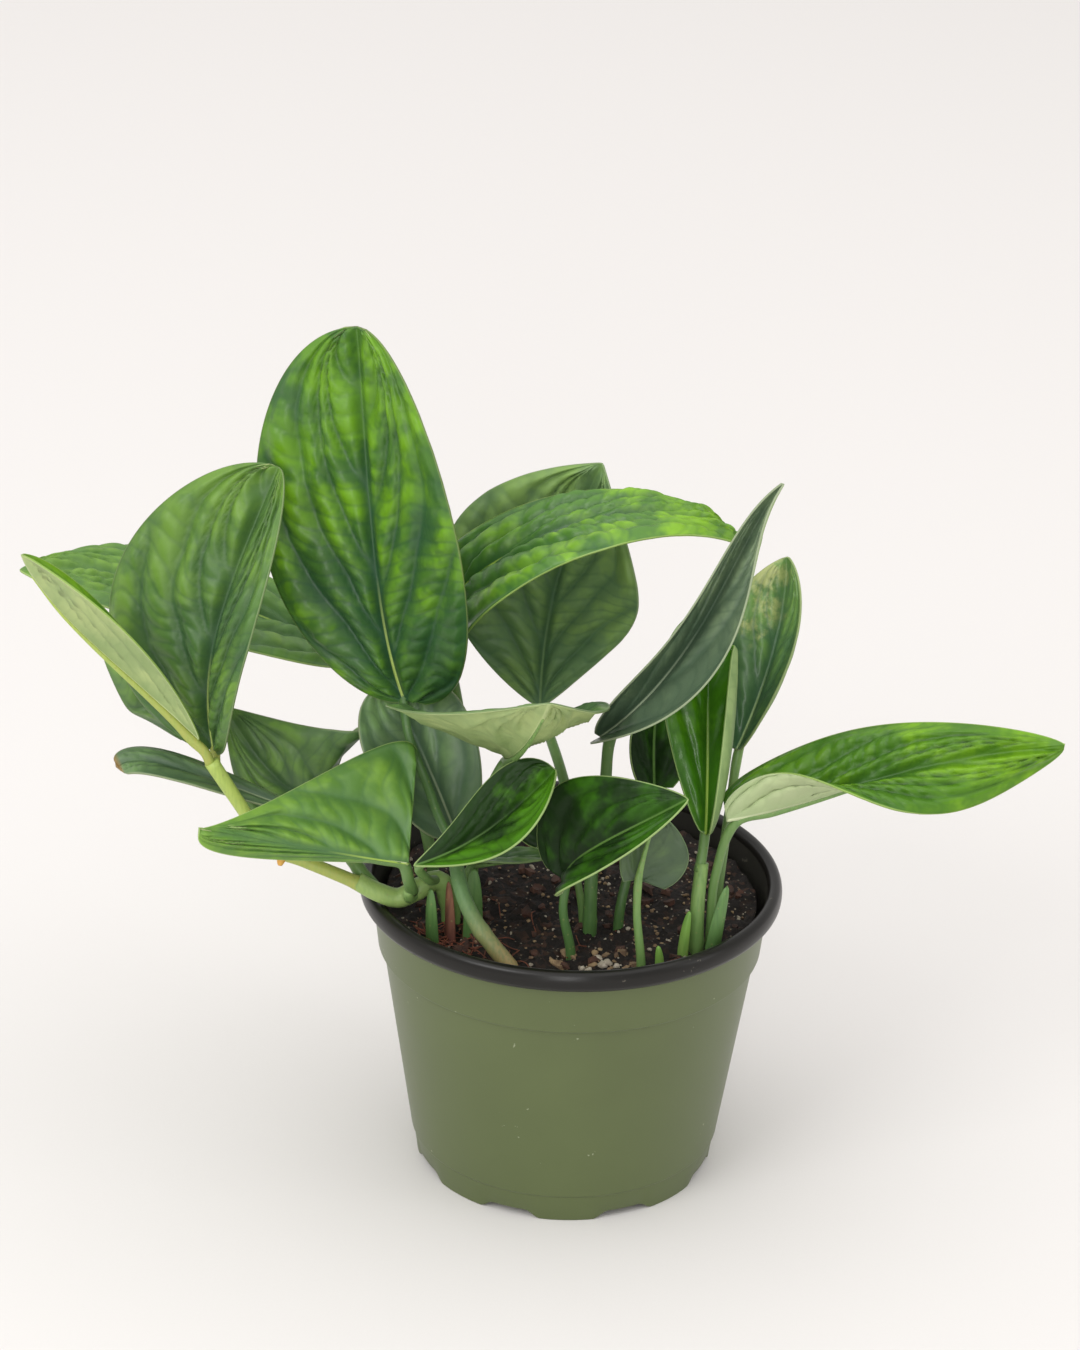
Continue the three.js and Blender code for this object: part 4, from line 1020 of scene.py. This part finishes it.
def turn_pot():
    bm = bmesh.new()
    corners = [bm.verts.new((r, 0, z)) for r, z, _ in POT_SECTION]
    for a, b in zip(corners, corners[1:]):
        bm.edges.new((a, b))
    for vert, (_, _, rounding) in zip(corners, POT_SECTION):
        if rounding:
            bmesh.ops.bevel(bm, geom=[vert], offset=rounding, affect="VERTICES", segments=4,
                            profile=0.5, material=-1, clamp_overlap=True)
    bmesh.ops.spin(bm, geom=bm.verts[:] + bm.edges[:], cent=(0, 0, 0), axis=(0, 0, 1),
                   angle=2 * math.pi, steps=POT_STEPS, use_merge=True)
    bmesh.ops.remove_doubles(bm, verts=bm.verts, dist=MERGE_MM)
    bmesh.ops.recalc_face_normals(bm, faces=bm.faces)
    for vert in bm.verts:
        x, y, z = vert.co
        if z < FLOOR_UNDERSIDE - 0.1 and math.hypot(x, y) > FOOT_RADIUS - 2.4 * WALL:
            vert.co.z += notch_lift(x, y) * (1 - z / FLOOR_UNDERSIDE)
    for face in bm.faces:
        centre = face.calc_center_median()
        radius = math.hypot(centre.x, centre.y)
        outer = radius * face.normal.dot(Vector((centre.x, centre.y, 0)).normalized()) > 0
        face.smooth = True
        is_outside = outer and centre.z < rim_bottom - 0.05 or centre.z < FLOOR_UNDERSIDE + 0.1
        hidden = INSIDE if radius < RIM_INNER_RADIUS else RIM
        face.material_index = OUTSIDE if is_outside else hidden
    return bm


pot_shell = turn_pot()
print("pot shell:", len(pot_shell.faces), "faces before its drain holes")

# %% [markdown]
# The four drain holes go through the raised floor. They are cut with a boolean, and the cutter,
# four short cylinders, is thrown away afterwards.

# %% Drain holes
CUTTER_MM = 12


def cut_drains(shell):
    cutters = bmesh.new()
    for i in range(DRAIN_HOLES):
        angle = math.radians(45 + i * 360 / DRAIN_HOLES)
        place = Matrix.Translation((DRAIN_CIRCLE * math.cos(angle), DRAIN_CIRCLE * math.sin(angle),
                                    FLOOR_UNDERSIDE))
        bmesh.ops.create_cone(cutters, cap_ends=True, segments=40, radius1=DRAIN_RADIUS,
                              radius2=DRAIN_RADIUS, depth=CUTTER_MM, matrix=place)
    blank, cutter = to_object("pot_blank", shell), to_object("drain_cutters", cutters)
    cut = blank.modifiers.new("drains", "BOOLEAN")
    cut.operation = "DIFFERENCE"
    cut.object = cutter
    cut.solver = "EXACT"
    done = bmesh.new()
    done.from_mesh(blank.evaluated_get(bpy.context.evaluated_depsgraph_get()).to_mesh())
    for thing in (blank, cutter):
        bpy.data.objects.remove(thing)
    return done


pot_mesh = cut_drains(pot_shell)
print("pot with drains:", len(pot_mesh.faces), "faces")

# %% [markdown]
# Moulded polypropylene is satin, faintly cloudy and never quite clean: small pale scuffs and
# specks of mix stick to it. The black inside and rim have the same plastic; the inside is a
# lighter grey, partly dust and partly painted sheen.

# %% Pot materials
SPECK_MM = 1.3
SCUFF_MM = 9
MOULD_TEXTURE_MM = 0.5


def moulded_plastic(name, colours, scuff_level, roughness, gloss=0.5):
    """Satin plastic. The colours are its own, its faint clouds' and the dust's."""
    material, tree, coords = new_material(name)
    base, cloud, dust = colours.split()
    clouds = add(tree, "TexNoise", {"Vector": coords, "Scale": 24.0, "Detail": 3.0})
    specks = add(tree, "TexNoise",
                 {"Vector": coords, "Scale": 1000 / SPECK_MM, "Detail": 2.0, "Roughness": 0.4})
    areas = add(tree, "TexNoise", {"Vector": coords, "Scale": 1000 / SCUFF_MM, "Detail": 1.0})
    both = add(tree, "Math", {0: specks, 1: areas}, operation="MULTIPLY")
    colour = paint(tree, srgb(base), (clouds, 0, 1, 0, 1, EVEN, cloud),
                   (both, scuff_level, scuff_level + 0.03, 0, 0.7, EVEN, dust))
    texture = add(tree, "TexNoise", {"Vector": coords, "Scale": 1000 / MOULD_TEXTURE_MM})
    shine = add(tree, "MapRange",
                {"Value": clouds, "To Min": roughness - 0.04, "To Max": roughness + 0.08})
    surface(tree, colour, shine, texture, 0.1, 0.12, IOR=1.49, Specular_IOR_Level=gloss)
    return material


pot_plastics = [
    moulded_plastic("polypropylene_olive_moulded", "#4f5a33 #5a663c #a2a88c", 0.5, 0.36),
    moulded_plastic("polypropylene_black_moulded", "#0f0e0b #171512 #5f5a50", 0.47, 0.28, 0.34),
    # Lighter grey inside: dust, and partly painted sheen.
    moulded_plastic("polypropylene_black_dust_and_painted_sheen", "#2a2926 #3a3833 #6f6a60", 0.42, 0.4)]
finish_piece("nursery_pot", pot_mesh, pot_plastics, "pot", "pot")

# %% [markdown]
# ## Potting mix
# The mix is a plug that fills the pot, with a crumbly top. Its surface is a grid rolled round the
# axis: the middle of the grid's far side becomes the centre, and its near side runs down the wall
# and closes below. Two sizes of noise raise the crumbs.

# %% Soil plug
SOIL_TOP, SOIL_RADIUS, SOIL_BASE_RADIUS = 105, 68.3, 51
SOIL_BUMP = 1.6
SOIL_SIDES, SOIL_ROWS = 340, 100
TOP_SHARE = 0.86
SOIL_SECTION = [(SOIL_RADIUS, None), (66.6, 88), (65.2, 80), (SOIL_BASE_RADIUS, 10.5),
                (SOIL_BASE_RADIUS - 2, 8), (0, 8)]


def soil_height(x, y):
    """Height of the loose surface: long waves, then lumps, then crumbs."""
    wave = math.sin(x * 0.21 + 1.3) * math.cos(y * 0.17 - 0.4) + 0.6 * math.sin(x * 0.53 - y * 0.41)
    lumps = noise.noise(Vector((x / 6, y / 6, 2.0)))
    crumbs = abs(noise.noise(Vector((x / 2.1, y / 2.1, 7.0))))
    fine = abs(noise.noise(Vector((x / 0.9, y / 0.9, 11.0))))
    return SOIL_TOP + SOIL_BUMP * 0.6 * wave + 1.3 * lumps + 1.6 * crumbs + 0.8 * fine - 0.8


def soil_place(a, b, vert):
    angle = 2 * math.pi * a
    if b <= TOP_SHARE:
        radius = SOIL_RADIUS * b / TOP_SHARE
        x, y = radius * math.cos(angle), radius * math.sin(angle)
        return Vector((x, y, soil_height(x, y)))
    place = (b - TOP_SHARE) / (1 - TOP_SHARE) * (len(SOIL_SECTION) - 1)
    k = min(int(place), len(SOIL_SECTION) - 2)
    (r0, z0), (r1, z1) = SOIL_SECTION[k], SOIL_SECTION[k + 1]
    if z0 is None:
        z0 = soil_height(r0 * math.cos(angle), r0 * math.sin(angle))
    share = place - k
    radius = r0 + (r1 - r0) * share
    return Vector((radius * math.cos(angle), radius * math.sin(angle), z0 + (z1 - z0) * share))


soil_mesh = bmesh.new()
skin(soil_mesh, SOIL_SIDES, SOIL_ROWS, soil_place)
bmesh.ops.recalc_face_normals(soil_mesh, faces=soil_mesh.faces)
print("soil plug:", len(soil_mesh.faces), "faces")

# %% [markdown]
# Damp peat and coir are almost black, with brown and reddish crumbs in them and grains of
# perlite that are too small to model. Those are drawn as pale dots of about half a millimetre.

# %% Soil material
CRUMB_MM, DAMP_MM, GRAIN_MM, GRIT_MM = 2.2, 14, 1.9, 0.6


def damp_mix(name):
    """Almost black mix, with brown crumbs, damper areas and pale grains."""
    material, tree, coords = new_material(name)
    crumbs, which = (
        add(tree, "SeparateColor",
            {0: add(tree, "TexVoronoi", {"Vector": coords, "Scale": 1000 / size}, out="Color")})
        for size in (CRUMB_MM, GRAIN_MM))
    clouds = add(tree, "TexNoise", {"Vector": coords, "Scale": 1000 / DAMP_MM, "Detail": 4.0})
    # Two dots in five are pale grains, the others are left out.
    dots = add(tree, "TexVoronoi", {"Vector": coords, "Scale": 1000 / GRAIN_MM}, out="Distance")
    kept = add(tree, "Math", {0: which, 1: 0.6}, operation="GREATER_THAN")
    strength = add(tree, "Math", {0: kept, 1: 0.7}, operation="MULTIPLY")
    colour = paint(tree, srgb("#1b1512"), (crumbs, 0.6, 1.0, 0, 0.8, EVEN, "#4a3225"),
                   (clouds, 0.35, 0.65, 0.75, 0, EVEN, "#120e0c"),
                   (dots, 0.12, 0.24, strength, 0, EVEN, "#9a907f"))
    grit = add(tree, "TexNoise", {"Vector": coords, "Scale": 1000 / GRIT_MM, "Detail": 3.0})
    surface(tree, colour, 0.82, grit, 0.5, 0.7, IOR=1.4)
    return material


finish_piece("potting_mix", soil_mesh, [damp_mix("peat_and_coir_damp")], "soil", "soil")

# %% [markdown]
# ## Perlite, bark and fibres
# Perlite is a white, puffed volcanic glass in rounded, uneven grains. Bark comes in flat brown
# chips, and coir in thin reddish fibres. Each grain starts as an icosphere or a seven-sided cone
# that is squeezed, turned and roughened. All grains of a kind are one piece.

# %% Scatter grains on the mix
SEED = 20
SPREAD_MM = 65
DENTS, DENTS_ACROSS = 0.75, 1.9
TILT = 0.5
draw = random.Random(SEED)


def crumbly(name, base, other, size_mm):
    """Rough mineral or bark surface, in two mixed colours with pits of the given size."""
    material, tree, coords = new_material(name)
    patches, pits = (
        add(tree, "TexNoise", {"Vector": coords, "Scale": 1000 / size, "Detail": detail})
        for size, detail in ((6 * size_mm, 4.0), (size_mm, 3.0)))
    colour = paint(tree, srgb(base), (patches, 0.35, 0.65, 0, 1, EVEN, other))
    surface(tree, colour, 0.85, pits, 0.4, 0.6, IOR=1.5)
    return material


def add_grain(bm, kind, x, y, size, stretch, sink):
    """One grain with its middle at x, y. size is its width in mm, sink its share below the mix."""
    if kind == "chip":
        verts = bmesh.ops.create_cone(bm, cap_ends=True, segments=7, radius1=size / 2,
                                      radius2=size * 0.4, depth=size)["verts"]
    else:
        verts = bmesh.ops.create_icosphere(bm, subdivisions=2, radius=size / 2)["verts"]
    seed = Vector((x, y, size))
    for vert in verts:
        vert.co *= 1 + DENTS * noise.noise(vert.co * (DENTS_ACROSS / size) + seed)
    tilt = Matrix.Rotation(draw.uniform(-TILT, TILT), 4, "X")
    tilt = tilt @ Matrix.Rotation(draw.uniform(0, 6.3), 4, "Z")
    height = soil_height(x, y) + size * stretch[2] * (0.5 - sink)
    place = Matrix.Translation((x, y, height)) @ tilt.inverted() @ Matrix.Diagonal((*stretch, 1))
    bmesh.ops.transform(bm, matrix=place, space=Matrix.Identity(4), verts=verts)


def scatter(name, material, kind, count, sizes, stretch, spot=None):
    """count grains over the whole mix, or over a spot given as x, y and radius."""
    bm = bmesh.new()
    centre_x, centre_y, reach = spot or (0, 0, SPREAD_MM)
    for _ in range(count):
        angle, distance = draw.uniform(0, 2 * math.pi), reach * math.sqrt(draw.random())
        x, y = centre_x + distance * math.cos(angle), centre_y + distance * math.sin(angle)
        size = draw.uniform(*sizes)
        add_grain(bm, kind, x, y, size, stretch, draw.uniform(0.15, 0.45))
    for face in bm.faces:
        face.smooth = kind != "chip"
    bmesh.ops.recalc_face_normals(bm, faces=bm.faces)
    finish_piece(name, bm, [material], "soil")


perlite = crumbly("perlite_puffed", "#b9b0a0", "#7d7262", 0.5)
bark = crumbly("bark_composted", "#4d2f22", "#2f1f18", 0.7)
pale_bark = crumbly("bark_pale_chips", "#97805f", "#5f4a38", 0.7)
rounded = (1, 0.85, 0.8)
scatter("perlite_grains", perlite, "grain", 150, (0.7, 1.9), rounded)
scatter("perlite_front", perlite, "grain", 10, (2.2, 3.6), rounded, (14, -55, 10))
scatter("bark_chips", bark, "chip", 110, (2.5, 6.0), (1.2, 0.7, 0.35))
scatter("pale_bark_chips", pale_bark, "chip", 26, (2.2, 4.4), (1.1, 0.8, 0.5), (9, -55, 17))
scatter("pale_crumbs", pale_bark, "grain", 260, (0.7, 1.6), (1.1, 0.9, 0.7))

# %% [markdown]
# The fibres lie in a loose patch on the left, and a few more elsewhere. Each is a thin tube with
# two bends.

# %% Coir fibres
FIBRE_RADIUS_MM = 0.22
FIBRE_REACH_MM = 66


def scatter_fibres(name, material, spots):
    bm = bmesh.new()
    bm.verts.layers.float.new("along")
    for centre_x, centre_y, reach, count in spots:
        for _ in range(count):
            x = centre_x + draw.uniform(-reach, reach)
            y = centre_y + draw.uniform(-reach, reach) * 0.7
            heading = draw.uniform(0, 2 * math.pi)
            length = draw.uniform(6, 15)
            points = []
            for _ in range(4):
                heading += draw.uniform(-0.6, 0.6)
                if math.hypot(x, y) > FIBRE_REACH_MM:
                    break
                points.append((x, y, soil_height(x, y) + draw.uniform(0.1, 1.4)))
                x += math.cos(heading) * length / 3
                y += math.sin(heading) * length / 3
            if len(points) > 2:
                tube(bm, points, lambda u: FIBRE_RADIUS_MM, sides=5, step_mm=1.5)
    finish_piece(name, bm, [material], "soil")


coir = crumbly("coir_fibre_dry", "#7d4630", "#553023", 0.6)
scatter_fibres("coir_fibres", coir, [(-49, -34, 13, 60), (-30, -50, 12, 16), (10, -40, 40, 12)])
